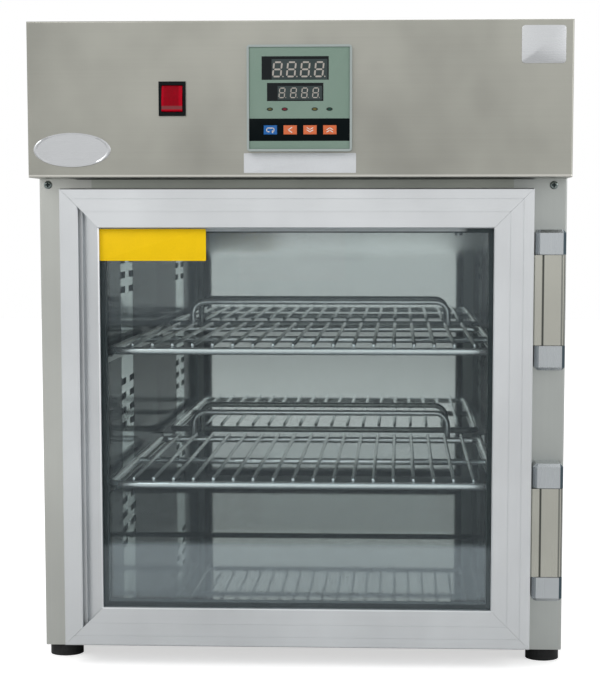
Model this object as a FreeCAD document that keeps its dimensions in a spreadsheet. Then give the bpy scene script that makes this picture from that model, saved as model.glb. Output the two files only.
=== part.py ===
"""Countertop blanket warmer with a glass door, as an assembly of separate pieces.

Millimetres, +Z up, the door faces -Y, and the origin is the middle of the
footprint on the surface that the feet stand on.
"""
import FreeCAD, Part
import math
import os

import Sketcher
from FreeCAD import Placement, Rotation, Vector

DOCUMENT = FreeCAD.newDocument("BlanketWarmer")

# Driving sizes: name, number, what it sets
DRIVING_SIZES = [
    ("cabinet_width", 500, "outside width of casing and header"),
    ("cabinet_height", 605, "overall height on its feet"),
    ("casing_depth", 526, "header front to the outside of the rear panel"),
    ("sheet", 1.2, "casing sheet"),
    ("foot_height", 12, "foot under the base pan"),
    ("foot_radius", 16, "foot at its top"),
    ("foot_inset", 17, "foot centre from the casing's side"),
    ("foot_front_inset", 20, "foot centre behind the casing's front or rear face"),
    ("header_height", 142, "header box"),
    ("header_reach", 50, "header front ahead of the cabinet's front face"),
    ("casing_flange", 14, "turned edges of the casing sheets"),
    ("side_wall", 50, "cavity's side wall from the casing's side"),
    ("roof", 38, "cavity's ceiling under the header box"),
    ("back_wall", 30, "cavity's rear wall from the outside of the rear panel"),
    ("tray_drop", 23, "equipment tray over the header box's lower edge"),
    ("bend_radius", 1.5, "outside of a folded edge"),
    ("cavity_floor", 43, "top of the cavity floor"),
    ("duct_width", 26, "air space between duct panel face and liner"),
    ("duct_foot", 10, "turned foot of a duct panel"),
    ("plenum_height", 32, "air space over the ceiling panel"),
    ("liner_sheet", 1, "inner liner sheet"),
    ("slot_length", 33, "air slot"),
    ("slot_height", 7, "air slot"),
    ("slot_gap", 25, "between the two columns of slots"),
    ("slot_pitch", 15.6, "rows of slots"),
    ("slot_share", 0.483, "slot columns' middle, share of the cavity's depth"),
    ("upper_slot_drop", 50.5, "upper group's middle under the ceiling"),
    ("middle_slot_share", 0.49, "middle group's middle, share of the cavity's height"),
    ("lower_slot_rise", 59.6, "lower group's middle over the floor"),
    ("door_depth", 30, "door frame, front to back"),
    ("door_setback", 10, "door front behind the header front"),
    ("door_margin", 59.5, "door narrower than the cabinet"),
    ("door_top_gap", 9.7, "door under the header box"),
    ("door_bottom", 21, "height of the door's lower edge"),
    ("door_offset", -3.6, "door centre from the cabinet's centre"),
    ("rail_width", 36.8, "face of every door rail"),
    ("rail_groove", 0.8, "width and depth of the grooves in a rail's face"),
    ("outer_groove", 9.4, "groove from the rail's outer edge"),
    ("inner_groove", 21.4, "second groove from the rail's outer edge"),
    ("rail_chamfer", 1, "broken edge of a rail"),
    ("mitre_gap", 0.1, "each side of a mitre"),
    ("glass_bite", 6, "rail lip over the glass"),
    ("glass_recess", 6, "glass behind the front of the frame"),
    ("glass_sheet", 4, "each glass"),
    ("glass_space", 10, "between the two glasses"),
    ("glass_clearance", 0.7, "glass edge to the rail"),
    ("spacer_width", 9.5, "spacer bar seen through the glass"),
    ("bead_width", 9, "glazing bead"),
    ("bead_depth", 5, "glazing bead"),
    ("bead_gap", 0.2, "glazing bead to the rail"),
    ("bead_chamfer", 2, "bevel of the glazing bead"),
    ("chamber_edge", 3, "wall beside a rail's chamber"),
    ("chamber_inner", 27, "far side of a rail's chamber from the outer edge"),
    ("chamber_front", 13.5, "front of a rail's chamber behind its face"),
    ("chamber_back", 23, "back of a rail's chamber behind its face"),
    ("key_clearance", 0.5, "corner key inside the chamber"),
    ("key_arm", 45, "corner key arm from the door's outer corner"),
    ("pull_strip", 17.3, "flat strip of the handle stile"),
    ("pull_lip", 2.2, "thickness of the strip's edge"),
    ("pull_undercut", 13, "finger space starts here, from the outer edge"),
    ("pull_bottom", 20, "deepest line of the finger space, from the outer edge"),
    ("pull_depth", 10.6, "finger space"),
    ("pull_slant", 0.6, "underside of the strip's edge rises towards the undercut"),
    ("pull_wall", 1.5, "foot of the undercut's wall"),
    ("pull_rise", 2.5, "steep side of the finger space across"),
    ("pull_shoulder", 7.6, "steep side of the finger space ends behind the front"),
    ("pull_bend", 60, "hollow bend of the finger space's outer side"),
    ("pull_crest", 1.3, "top of the hollow from the rail's inner edge"),
    ("gasket_inset", 4.7, "door gasket from the door's outer edge"),
    ("gasket_width", 11, "door gasket"),
    ("gasket_base", 4, "narrow part of the gasket next to the door"),
    ("gasket_gap", 0.3, "gasket to the cabinet face"),
    ("gasket_groove", 4, "depth of the groove that holds the gasket"),
    ("gasket_root", 5, "gasket root in the groove"),
    ("gasket_side", 0.25, "gasket root to the groove's side"),
    ("gasket_neck", 2, "gasket neck wider than its root"),
    ("gasket_round", 2, "round of the gasket's lip"),
    ("hinge_stand", 18, "hinge axis ahead of the cabinet's front face"),
    ("hinge_margin", 17.5, "hinge axis from the casing's side"),
    ("upper_hinge_drop", 169.1, "upper hinge's lower end under the door's top"),
    ("hinge_front", 11, "hinge face ahead of its axis"),
    ("hinge_left", 13.6, "hinge block to the door side of its axis"),
    ("hinge_right", 15, "hinge block to the far side of its axis"),
    ("hinge_block", 23, "height of a hinge block"),
    ("hinge_barrel", 84, "height of a hinge barrel"),
    ("hinge_play", 0.5, "barrel to each block"),
    ("hinge_chamfer", 4, "front edge of a block beside the door"),
    ("hinge_edge", 3, "other broken edges of a block"),
    ("barrel_step", 0.5, "barrel's far side behind the blocks'"),
    ("barrel_back", 10, "barrel's rear face behind the axis"),
    ("barrel_back_round", 9, "barrel's rear far edge"),
    ("barrel_round", 5, "barrel's front far edge"),
    ("barrel_edge", 2, "barrel's broken edge beside the door"),
    ("barrel_seam", 7.85, "joint line in the barrel's face from the door's edge"),
    ("lower_hinge", 65.2, "height of the lower hinge's lower end"),
    ("pin_radius", 4, "hinge pin"),
    ("pin_clearance", 0.06, "hinge pin in the barrel"),
    ("pin_bite", 17, "hinge pin inside each block"),
    ("shelf_front", 20, "front rail's axis behind the cabinet front face"),
    ("shelf_back", 53, "rear rail's axis ahead of the cavity's rear wall"),
    ("shelf_side", 12, "side rod's axis from the cavity's side wall"),
    ("mid_rod_share", 0.48, "cross rod, share of the shelf's depth"),
    ("wire_margin", 22.25, "outermost wire from the side rod's axis"),
    ("lip_margin", 38, "lip rod's foot from the side rod's axis"),
    ("upper_shelf_share", 0.668, "axis of the upper shelf's frame, share of the cavity's height"),
    ("lower_shelf_share", 0.3254, "axis of the lower shelf's frame, share of the cavity's height"),
    ("shelf_corner", 12, "bend of the shelf frame"),
    ("rod_radius", 3.75, "shelf frame rod"),
    ("mid_rod_radius", 3.5, "cross rod"),
    ("wire_radius", 2, "fore-and-aft wires"),
    ("lip_rise", 31.3, "lip rod's axis over the frame rods' axis"),
    ("lip_radius", 3.25, "lip rod"),
    ("lip_corner", 14, "bend of the lip rod"),
    ("lip_gap", 0.05, "lip rod to the rear rail beside it"),
    ("runner_width", 16, "shelf runner"),
    ("runner_drop", 12, "shelf runner"),
    ("runner_sheet", 1.5, "shelf runner"),
    ("runner_gap", 0.3, "side rod over the runner"),
    ("fan_radius", 72, "fan wheel"),
    ("fan_eye", 50, "inner ends of the blades"),
    ("fan_height", 21, "fan wheel"),
    ("fan_gap", 4, "fan wheel over the ceiling panel"),
    ("blade_sheet", 0.8, "fan sheet"),
    ("hub_radius", 11, "fan hub"),
    ("hub_height", 14, "fan hub"),
    ("blade_lead", 7, "outer end of a blade beside its inner end"),
    ("shaft_radius", 4, "fan shaft"),
    ("shaft_play", 0.05, "fan shaft in the motor"),
    ("shaft_hole", 8, "holes that the shaft passes through"),
    ("motor_radius", 42, "fan motor"),
    ("motor_height", 52, "fan motor"),
    ("motor_flange", 46, "half the fan motor's square foot plate"),
    ("motor_edge", 4, "thickness of the motor's foot plate"),
    ("shaft_bite", 40, "fan shaft inside the motor"),
    ("intake_radius", 48, "air intake in the ceiling panel"),
    ("guard_size", 124, "intake guard"),
    ("guard_slot", 7, "slots of the intake guard"),
    ("guard_pitch", 10, "slots of the intake guard"),
    ("guard_corner", 6, "corners of the intake guard"),
    ("element_ring", 92, "heating element ring"),
    ("element_tube", 4, "heating element"),
    ("element_hole", 6, "edge of the legs' opening from their axes"),
    ("element_stand", 14, "leg over the equipment tray"),
    ("element_flange", 12, "element flange past the legs' axes"),
    ("control_x", 1, "controller from the cabinet's centre"),
    ("bezel_size", 96, "controller bezel"),
    ("control_drop", 70.5, "controller and switch middle under the header's top"),
    ("bezel_proud", 6, "controller bezel ahead of the header"),
    ("bezel_rim", 2, "rim round the controller's face"),
    ("face_recess", 1, "controller's face behind its rim"),
    ("case_size", 90.5, "controller case"),
    ("case_depth", 80, "controller case"),
    ("terminal_recess", 8, "depth and width of the rows of terminals behind the case"),
    ("cutout_clearance", 0.5, "controller case in the header's opening"),
    ("key_width", 12.2, "controller key"),
    ("key_height", 8.3, "controller key"),
    ("key_pitch", 18.1, "controller keys"),
    ("key_drop", 28.7, "keys under the controller's middle"),
    ("key_shift", 0.65, "keys' middle from the controller's middle"),
    ("key_flange", 1.2, "flange that holds a key in the bezel"),
    ("key_play", 0.1, "key flange to the bezel's rear face"),
    ("key_edge", 0.5, "round of a key's edges"),
    ("bezel_corner", 3, "corners of the controller bezel"),
    ("window_ledge", 1.5, "ledge behind a display window"),
    ("key_gap", 0.25, "key in its hole"),
    ("key_rise", 0.7, "key ahead of the controller's face"),
    ("key_travel_room", 1.1, "key to the case behind it"),
    ("display_upper_width", 61.2, "upper display window"),
    ("display_upper_height", 21.2, "upper display window"),
    ("display_upper_rise", 27, "upper display over the controller's middle"),
    ("display_lower_width", 51.5, "lower display window"),
    ("display_lower_height", 16.4, "lower display window"),
    ("display_lower_rise", 5.5, "lower display over the controller's middle"),
    ("display_left", -3.8, "displays' middle from the controller's middle"),
    ("display_sheet", 2.5, "display window"),
    ("switch_x", -115.9, "switch from the cabinet's centre"),
    ("switch_width", 24.8, "switch bezel"),
    ("switch_height", 31.2, "switch bezel"),
    ("switch_rim", 2, "switch bezel ahead of the header"),
    ("switch_body_width", 21.7, "switch body in the header's opening"),
    ("switch_body_height", 27.8, "switch body in the header's opening"),
    ("switch_body_depth", 20, "switch body behind the header's face"),
    ("rocker_width", 19, "rocker"),
    ("rocker_radius", 12, "rocker's ends about its pivot"),
    ("rocker_gap", 0.3, "rocker in its bezel"),
    ("rocker_pivot", 0.5, "rocker pivot behind the header's face"),
    ("rocker_rise", 4.7, "rocker's ridge ahead of its pivot"),
    ("rocker_back", 7, "rocker's rear face behind its pivot"),
    ("rocker_room", 10, "hollow of the switch body behind the pivot"),
    ("rocker_angle", 8, "slope of each half of the rocker, degrees"),
    ("inlet_width", 48, "mains inlet flange"),
    ("inlet_drop", 70, "mains inlet's middle under the header's top"),
    ("inlet_margin", 80, "mains inlet's middle from the casing's side"),
    ("inlet_height", 24, "mains inlet flange"),
    ("inlet_proud", 3, "mains inlet flange behind the rear panel"),
    ("inlet_body_width", 27, "mains inlet body"),
    ("inlet_body_height", 20, "mains inlet body"),
    ("inlet_body_depth", 24, "mains inlet body"),
    ("inlet_socket", 16, "depth of the mains inlet's socket"),
    ("inlet_wall", 2, "wall round the mains inlet's socket"),
    ("inlet_pin", 2, "pin of the mains inlet"),
    ("inlet_pin_gap", 7, "outer pins from the middle pin"),
    ("vent_width", 4, "rear vent slot"),
    ("vent_height", 40, "rear vent slot"),
    ("vent_pitch", 10, "rear vent slots"),
    ("vent_x", 40, "middle of the rear vent slots from the cabinet's centre"),
    ("switchgear_back", 137, "terminal block and relay ahead of the rear panel"),
    ("switchgear_margin", 100, "terminal block and relay from the casing's sides"),
    ("terminal_width", 60, "terminal block"),
    ("terminal_depth", 24, "terminal block"),
    ("terminal_height", 12, "terminal block"),
    ("terminal_barrier", 6, "walls between the terminals"),
    ("terminal_rib", 2, "walls between the terminals"),
    ("relay_width", 58, "heater relay"),
    ("relay_depth", 45, "heater relay"),
    ("relay_height", 23, "heater relay"),
    ("relay_base", 3, "heater relay's base plate"),
    ("relay_well", 5, "screw wells of the heater relay"),
    ("probe_clearance", 0.2, "temperature probe in the ceiling panel"),
    ("probe_side", 47, "temperature probe from the cavity's side wall"),
    ("probe_back", 134, "temperature probe behind the cabinet's front face"),
    ("foot_recess", 4, "radius and depth of the screw recess under a foot"),
    ("runner_inset", 14, "runner's front end behind the cabinet front face"),
    ("runner_end", 48, "runner's rear end ahead of the cavity's rear wall"),
    ("wire_overhang", 1, "wire ends past the frame rods' axes"),
    ("probe_radius", 4, "temperature probe"),
    ("probe_drop", 16, "temperature probe under the ceiling"),
    ("probe_nut", 7, "temperature probe's nut"),
    ("probe_nut_height", 4, "temperature probe's nut"),
]


class Size:
    """A number together with the sheet formula that gives it."""

    def __init__(self, value, formula):
        self.value = float(value)
        self.formula = formula

    def __add__(self, other):
        other = as_size(other)
        return Size(self.value + other.value, f"({self.formula} + {other.formula})")

    def __radd__(self, other):
        return as_size(other) + self

    def __sub__(self, other):
        other = as_size(other)
        return Size(self.value - other.value, f"({self.formula} - {other.formula})")

    def __rsub__(self, other):
        return as_size(other) - self

    def __mul__(self, other):
        other = as_size(other)
        return Size(self.value * other.value, f"({self.formula} * {other.formula})")

    def __rmul__(self, other):
        return as_size(other) * self

    def __truediv__(self, other):
        other = as_size(other)
        return Size(self.value / other.value, f"({self.formula} / {other.formula})")

    def __neg__(self):
        return Size(-self.value, f"(0 - {self.formula})")


def as_size(item):
    """Turn a plain number into a Size, and leave a Size as it is."""
    if isinstance(item, Size):
        return item
    number = float(item)
    return Size(number, f"{number}" if number >= 0 else f"(0 - {-number})")


class Sizes:
    """The spreadsheet of driving sizes, read by name."""

    def __init__(self, rows):
        self.table = DOCUMENT.addObject("Spreadsheet::Sheet", "Sizes")
        self.cells = {}
        for row, (name, value, note) in enumerate(rows, start=1):
            self.table.set(f"A{row}", name)
            self.table.set(f"B{row}", f"{value}")
            self.table.set(f"C{row}", note)
            self.table.setAlias(f"B{row}", name)
            self.cells[name] = Size(value, f"Sizes.{name}")
        DOCUMENT.recompute()

    def __getattr__(self, name):
        return self.cells[name]

    def derive(self, name, size, note):
        """Add a size that follows from others."""
        row = len(self.cells) + 1
        self.table.set(f"A{row}", name)
        self.table.set(f"B{row}", "=" + size.formula.replace("Sizes.", ""))
        self.table.set(f"C{row}", note)
        self.table.setAlias(f"B{row}", name)
        self.cells[name] = Size(size.value, f"Sizes.{name}")


s = Sizes(DRIVING_SIZES)

# Counts and shares that stay whatever the size
VENT_COUNT = 16
SLOT_ROWS = 4
WIRE_COUNT = 18
BLADE_COUNT = 12
GUARD_COUNT = 9
ELEMENT_SIDES = 20
ELEMENT_GAP = 7
TERMINAL_WAYS = 5
HEX_SHARE = 0.866
FLAT_SHARE = 0.4142

# Places and sizes that follow from the driving sizes
HALF_WIDTH = s.cabinet_width / 2
FRONT_LIMIT = -(s.casing_depth + s.bezel_proud + s.inlet_proud) / 2
HEADER_FRONT = FRONT_LIMIT + s.bezel_proud
FACE = HEADER_FRONT + s.header_reach
REAR = HEADER_FRONT + s.casing_depth
BASE = s.foot_height
TOP = s.cabinet_height
HEADER_BOTTOM = TOP - s.header_height
s.derive("tray_level", HEADER_BOTTOM + s.tray_drop, "underside of the equipment tray")
s.derive("cavity_width", s.cabinet_width - s.side_wall * 2, "between the duct panels")
s.derive("cavity_height", HEADER_BOTTOM - s.roof - s.cavity_floor, "floor to ceiling panel")
s.derive("cavity_depth", REAR - s.back_wall - FACE, "cabinet's front face to the cavity's rear wall")
INSIDE = FACE + s.sheet
HALF_CAVITY = s.cavity_width / 2
CEILING = s.cavity_floor + s.cavity_height
CAVITY_BACK = FACE + s.cavity_depth
DUCT_OUTER = HALF_CAVITY + s.duct_width
PLENUM_TOP = CEILING + s.sheet + s.plenum_height
LINER_TOP = PLENUM_TOP + s.liner_sheet
TRAY_TOP = s.tray_level + s.sheet
s.derive("slot_centre", FACE + s.cavity_depth * s.slot_share, "slot columns' middle")
s.derive("upper_slots", CEILING - s.upper_slot_drop, "height of the upper group's middle")
s.derive("middle_slots", s.cavity_floor + s.cavity_height * s.middle_slot_share,
         "height of the middle group's middle")
s.derive("lower_slots", s.cavity_floor + s.lower_slot_rise, "height of the lower group's middle")
s.derive("door_width", s.cabinet_width - s.door_margin, "door frame")
s.derive("door_height", HEADER_BOTTOM - s.door_top_gap - s.door_bottom, "door frame")
s.derive("hinge_x", HALF_WIDTH - s.hinge_margin, "hinge axis")
s.derive("upper_hinge", s.door_bottom + s.door_height - s.upper_hinge_drop,
         "height of the upper hinge's lower end")
DOOR_FRONT = HEADER_FRONT + s.door_setback
DOOR_LEFT = s.door_offset - s.door_width / 2
DOOR_RIGHT = s.door_offset + s.door_width / 2
HINGE_Y = FACE - s.hinge_stand
SHELF_Y = FACE + s.shelf_front
s.derive("shelf_half", HALF_CAVITY - s.shelf_side, "side rod's axis from the shelf's middle")
s.derive("shelf_depth", s.cavity_depth - s.shelf_front - s.shelf_back, "between end rails' axes")
s.derive("mid_rod", s.shelf_depth * s.mid_rod_share, "cross rod behind the front rail")
s.derive("lip_half", s.shelf_half - s.lip_margin, "lip rod's foot from the shelf's middle")
s.derive("wire_pitch", (s.shelf_half - s.wire_margin) * 2 / (WIRE_COUNT - 1), "fore-and-aft wires")
s.derive("upper_shelf_level", s.cavity_floor + s.cavity_height * s.upper_shelf_share,
         "axis of the upper shelf's frame")
s.derive("lower_shelf_level", s.cavity_floor + s.cavity_height * s.lower_shelf_share,
         "axis of the lower shelf's frame")
s.derive("runner_length", s.cavity_depth - s.runner_inset - s.runner_end, "shelf runner")
s.derive("fan_y", FACE + s.cavity_depth / 2, "fan axis")
s.derive("control_z", TOP - s.control_drop, "controller and switch middle")
s.derive("inlet_z", TOP - s.inlet_drop, "mains inlet's middle")
s.derive("inlet_x", s.inlet_margin - HALF_WIDTH, "mains inlet's middle")
s.derive("terminal_x", s.switchgear_margin - HALF_WIDTH, "terminal block's middle")
s.derive("relay_x", HALF_WIDTH - s.switchgear_margin, "heater relay's middle")
s.derive("switchgear_y", REAR - s.switchgear_back, "terminal block's and relay's middle")
s.derive("probe_x", HALF_CAVITY - s.probe_side, "temperature probe")
s.derive("probe_y", FACE + s.probe_back, "temperature probe")
DOCUMENT.recompute()

NODES = []


def keep(item, label):
    """Name a finished sub-part and put it on the list to be written."""
    item.Label = label
    NODES.append(item)
    return item


def bind(item, path, size):
    """Tie one property to the sheet."""
    item.setExpression(path, as_size(size).formula)


def place(item, at):
    """Tie the placement of a sub-part to the sheet."""
    for axis, size in zip("xyz", at):
        bind(item, f".Placement.Base.{axis}", size)


def new_body(name, at=(0, 0, 0)):
    """Start a body whose own origin stands at the given place."""
    body = DOCUMENT.addObject("PartDesign::Body", name)
    place(body, at)
    return body


def slab(name, low, high):
    """Make a plain box between two corners."""
    box = DOCUMENT.addObject("Part::Box", name)
    for path, start, end in zip(("Length", "Width", "Height"), low, high):
        bind(box, path, as_size(end) - start)
    place(box, low)
    return box


def compound(name, members):
    """Group separate solids of one kind in one sub-part."""
    group = DOCUMENT.addObject("Part::Compound", name)
    group.Links = members
    return group


class Outline:
    """A sketch on one of a body's origin planes, dimensioned from the sheet."""

    def __init__(self, body, plane, level=0):
        self.sketch = body.newObject("Sketcher::SketchObject", "Outline")
        origin = [item for item in body.Origin.OriginFeatures if item.Role == f"{plane}_Plane"]
        self.sketch.AttachmentSupport = [(origin[0], "")]
        self.sketch.MapMode = "FlatFace"
        bind(self.sketch, "AttachmentOffset.Base.z", level)

    def dimension(self, kind, geometry, point, size):
        """Tie one coordinate of a point to the sheet."""
        size = as_size(size)
        number = self.sketch.addConstraint(
            Sketcher.Constraint(kind, -1, 1, geometry, point, size.value))
        self.name_dimension(number, size)

    def name_dimension(self, number, size):
        """Give a dimension a name and its formula."""
        name = f"size_{number}"
        self.sketch.renameConstraint(number, name)
        bind(self.sketch, f"Constraints.{name}", size)

    def polygon(self, points):
        """Draw a closed outline; a third entry bends the edge that leaves a point.

        The entry is the arc's radius, positive when the arc bulges to the
        right of the way from this point to the next.
        """
        corners = [(as_size(p[0]), as_size(p[1]), p[2] if len(p) > 2 else None) for p in points]
        edges = [self.edge(start, end) for start, end in zip(corners, corners[1:] + corners[:1])]
        for here, following in zip(edges, edges[1:] + edges[:1]):
            self.sketch.addConstraint(Sketcher.Constraint(
                "Coincident", here[0], here[2], following[0], following[1]))
        for i, (geometry, point, last) in enumerate(edges):
            before = corners[i - 1]
            level = i > 0 and before[2] is None
            for axis, (kind, square) in enumerate((("DistanceX", "Vertical"),
                                                   ("DistanceY", "Horizontal"))):
                if level and before[axis].formula == corners[i][axis].formula:
                    self.sketch.addConstraint(Sketcher.Constraint(square, edges[i - 1][0]))
                else:
                    self.dimension(kind, geometry, point, corners[i][axis])
            if corners[i][2] is not None:
                radius = as_size(corners[i][2])
                number = self.sketch.addConstraint(
                    Sketcher.Constraint("Radius", geometry, abs(radius.value)))
                self.name_dimension(number, radius if radius.value > 0 else -radius)
        return self

    def edge(self, start, end):
        """Add the edge between two corners and tell which of its ends is which."""
        a = Vector(start[0].value, start[1].value, 0)
        b = Vector(end[0].value, end[1].value, 0)
        return self.straight(a, b) if start[2] is None else self.bent(a, b, start[2])

    def straight(self, a, b):
        """Add a straight edge and tell which end is which."""
        return self.sketch.addGeometry(Part.LineSegment(a, b), False), 1, 2

    def bent(self, a, b, bend):
        """Add an arc edge and tell which end is which."""
        radius = as_size(bend).value
        chord = b - a
        middle = (a + b) / 2
        right = Vector(chord.y, -chord.x, 0) / chord.Length
        rise = (radius ** 2 - (chord.Length / 2) ** 2) ** 0.5
        side = 1 if radius > 0 else -1
        centre = middle - right * (rise * side)
        crest = centre + right * abs(radius) * side
        arc = Part.Arc(a, crest, b)
        geometry = self.sketch.addGeometry(arc, False)
        starts_at_a = (self.sketch.getPoint(geometry, 1) - a).Length < chord.Length / 2
        return (geometry, 1, 2) if starts_at_a else (geometry, 2, 1)

    def rectangle(self, u0, v0, u1, v1):
        """Draw a rectangle between two corners."""
        return self.polygon([(u0, v0), (u1, v0), (u1, v1), (u0, v1)])

    def circle(self, u, v, radius):
        """Draw a circle."""
        u, v, radius = as_size(u), as_size(v), as_size(radius)
        ring = Part.Circle(Vector(u.value, v.value, 0), Vector(0, 0, 1), radius.value)
        geometry = self.sketch.addGeometry(ring, False)
        self.dimension("DistanceX", geometry, 3, u)
        self.dimension("DistanceY", geometry, 3, v)
        number = self.sketch.addConstraint(Sketcher.Constraint("Radius", geometry, radius.value))
        self.name_dimension(number, radius)
        return self


def span_level(plane, start, end, cutting):
    """Give the sketch level from which a pad or pocket covers start to end."""
    if plane == "XZ":
        return -as_size(start) if cutting else -as_size(end)
    return as_size(end) if cutting else as_size(start)


def pad(body, plane, start, end, draw):
    """Extrude an outline from start to end along the plane's axis."""
    outline = Outline(body, plane, span_level(plane, start, end, False))
    draw(outline)
    feature = body.newObject("PartDesign::Pad", "Pad")
    feature.Profile = outline.sketch
    bind(feature, "Length", as_size(end) - start)
    outline.sketch.Visibility = False
    return feature


def cut(body, plane, start, end, draw):
    """Cut an outline out of the body from start to end along the plane's axis."""
    outline = Outline(body, plane, span_level(plane, start, end, True))
    draw(outline)
    feature = body.newObject("PartDesign::Pocket", "Pocket")
    feature.Profile = outline.sketch
    bind(feature, "Length", as_size(end) - start)
    outline.sketch.Visibility = False
    return feature


def revolve(body, draw):
    """Turn an outline on the XZ plane about the body's Z axis."""
    outline = Outline(body, "XZ")
    draw(outline)
    feature = body.newObject("PartDesign::Revolution", "Revolution")
    feature.Profile = outline.sketch
    feature.ReferenceAxis = (outline.sketch, ["V_Axis"])
    feature.Angle = 360
    return feature


def soften(body, kind, size, chosen):
    """Fillet or chamfer the edges that a test picks by their middle and direction."""
    DOCUMENT.recompute()
    tip = body.Tip
    names = []
    for number, edge in enumerate(tip.Shape.Edges, start=1):
        middle = edge.valueAt((edge.FirstParameter + edge.LastParameter) / 2)
        way = edge.tangentAt((edge.FirstParameter + edge.LastParameter) / 2)
        if chosen(middle, way):
            names.append(f"Edge{number}")
    feature = body.newObject(f"PartDesign::{kind}", kind)
    feature.Base = (tip, names)
    bind(feature, "Radius" if kind == "Fillet" else "Size", size)
    return feature


def near(value, size):
    """Tell whether a measured coordinate is the given size."""
    return abs(value - as_size(size).value) < 0.01


def along(way, axis):
    """Tell whether an edge runs along an axis."""
    return abs(getattr(way, axis)) > 0.99


def make_side_panel(name, side):
    """Folded side sheet: its front return is the column beside the door."""
    outer = HALF_WIDTH * side
    inner = (HALF_WIDTH - s.sheet) * side
    column = HALF_CAVITY * side
    lip = (HALF_WIDTH - s.casing_flange) * side
    back = REAR - s.sheet
    body = new_body(name)
    pad(body, "XY", BASE, TOP, lambda o: o.polygon([
        (outer, FACE), (column, FACE), (column, INSIDE), (inner, INSIDE),
        (inner, back - s.sheet), (lip, back - s.sheet), (lip, back), (outer, back)]))
    cut(body, "XY", s.tray_level, TOP, lambda o: o.rectangle(inner, FACE, column, INSIDE))
    room = s.casing_flange + 2 * s.sheet
    for start, end in ((TOP - room, TOP), (BASE, BASE + room)):
        cut(body, "XY", start, end, lambda o: o.rectangle(inner, back - s.sheet, lip, back))
    soften(body, "Fillet", s.bend_radius, lambda p, way: (
        along(way, "z") and near(p.x, outer) and near(p.y, FACE)))
    return keep(body, name)


def make_header_fascia():
    """Header box: front sheet with turned sides, top and underside."""
    inner = HALF_WIDTH - s.sheet
    body = new_body("header_fascia")
    pad(body, "XY", HEADER_BOTTOM, TOP,
        lambda o: o.rectangle(-HALF_WIDTH, HEADER_FRONT, HALF_WIDTH, FACE))
    cut(body, "XZ", HEADER_FRONT + s.sheet, FACE,
        lambda o: o.rectangle(-inner, HEADER_BOTTOM + s.sheet, inner, TOP - s.sheet))
    half = s.case_size / 2 + s.cutout_clearance
    cut(body, "XZ", HEADER_FRONT, HEADER_FRONT + s.sheet, lambda o: (
        o.rectangle(s.control_x - half, s.control_z - half, s.control_x + half, s.control_z + half),
        o.rectangle(s.switch_x - s.switch_body_width / 2, s.control_z - s.switch_body_height / 2,
                    s.switch_x + s.switch_body_width / 2, s.control_z + s.switch_body_height / 2)))
    soften(body, "Fillet", s.bend_radius, lambda p, way: near(p.y, HEADER_FRONT) and (
        near(abs(p.x), HALF_WIDTH) or near(p.z, TOP) or near(p.z, HEADER_BOTTOM)))
    return keep(body, "header_fascia")


def make_top_panel():
    """Top sheet with turned-down sides."""
    a = HALF_WIDTH - s.sheet
    body = new_body("top_panel")
    pad(body, "XZ", FACE, REAR - s.sheet, lambda o: o.polygon([
        (-a, TOP), (a, TOP), (a, TOP - s.casing_flange), (a - s.sheet, TOP - s.casing_flange),
        (a - s.sheet, TOP - s.sheet), (s.sheet - a, TOP - s.sheet),
        (s.sheet - a, TOP - s.casing_flange), (-a, TOP - s.casing_flange)]))
    return keep(body, "top_panel")


def foot_places():
    """Centre of each foot, by name."""
    x = HALF_WIDTH - s.foot_inset
    front = FACE + s.foot_front_inset
    back = REAR - s.foot_front_inset
    return {"front_left_foot": (-x, front), "front_right_foot": (x, front),
            "rear_left_foot": (-x, back), "rear_right_foot": (x, back)}


def make_base_pan():
    """Bottom sheet with turned-up sides and front."""
    a = HALF_WIDTH - s.sheet
    flange = BASE + s.casing_flange
    body = new_body("base_pan")
    pad(body, "XZ", INSIDE, REAR - s.sheet, lambda o: o.polygon([
        (-a, BASE), (a, BASE), (a, flange), (a - s.sheet, flange), (a - s.sheet, BASE + s.sheet),
        (s.sheet - a, BASE + s.sheet), (s.sheet - a, flange), (-a, flange)]))
    pad(body, "XZ", INSIDE, INSIDE + s.sheet, lambda o: o.rectangle(
        s.sheet - a, BASE + s.sheet, a - s.sheet, flange))
    return keep(body, "base_pan")


def make_rear_panel():
    """Flat rear sheet with cooling slots for the equipment space and the inlet's opening."""
    body = new_body("rear_panel")
    pad(body, "XZ", REAR - s.sheet, REAR, lambda o: o.rectangle(-HALF_WIDTH, BASE, HALF_WIDTH, TOP))
    first = s.vent_x - s.vent_pitch * (VENT_COUNT - 1) / 2
    cut(body, "XZ", REAR - s.sheet, REAR, lambda o: [
        o.rectangle(first + s.vent_pitch * k - s.vent_width / 2, s.inlet_z - s.vent_height / 2,
                    first + s.vent_pitch * k + s.vent_width / 2, s.inlet_z + s.vent_height / 2)
        for k in range(VENT_COUNT)])
    cut(body, "XZ", REAR - s.sheet, REAR, lambda o: (
        o.rectangle(s.inlet_x - s.inlet_body_width / 2, s.inlet_z - s.inlet_body_height / 2,
                    s.inlet_x + s.inlet_body_width / 2, s.inlet_z + s.inlet_body_height / 2)))
    return keep(body, "rear_panel")


def make_front_rails():
    """Flat rails over and under the door opening, between the two columns."""
    keep(slab("TopRail", (-HALF_CAVITY, FACE, CEILING), (HALF_CAVITY, INSIDE, s.tray_level)),
         "top_front_rail")
    keep(slab("BottomRail", (-HALF_CAVITY, FACE, BASE), (HALF_CAVITY, INSIDE, s.cavity_floor)),
         "bottom_front_rail")


def draw_service_holes(outline):
    """Openings for the fan shaft and for the heating element's two legs."""
    outline.circle(0, s.fan_y, s.shaft_hole)
    legs, reach = leg_place()
    a = legs + s.element_hole
    y = s.fan_y + reach
    outline.rectangle(-a, y - s.element_hole, a, y + s.element_hole)


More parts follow.
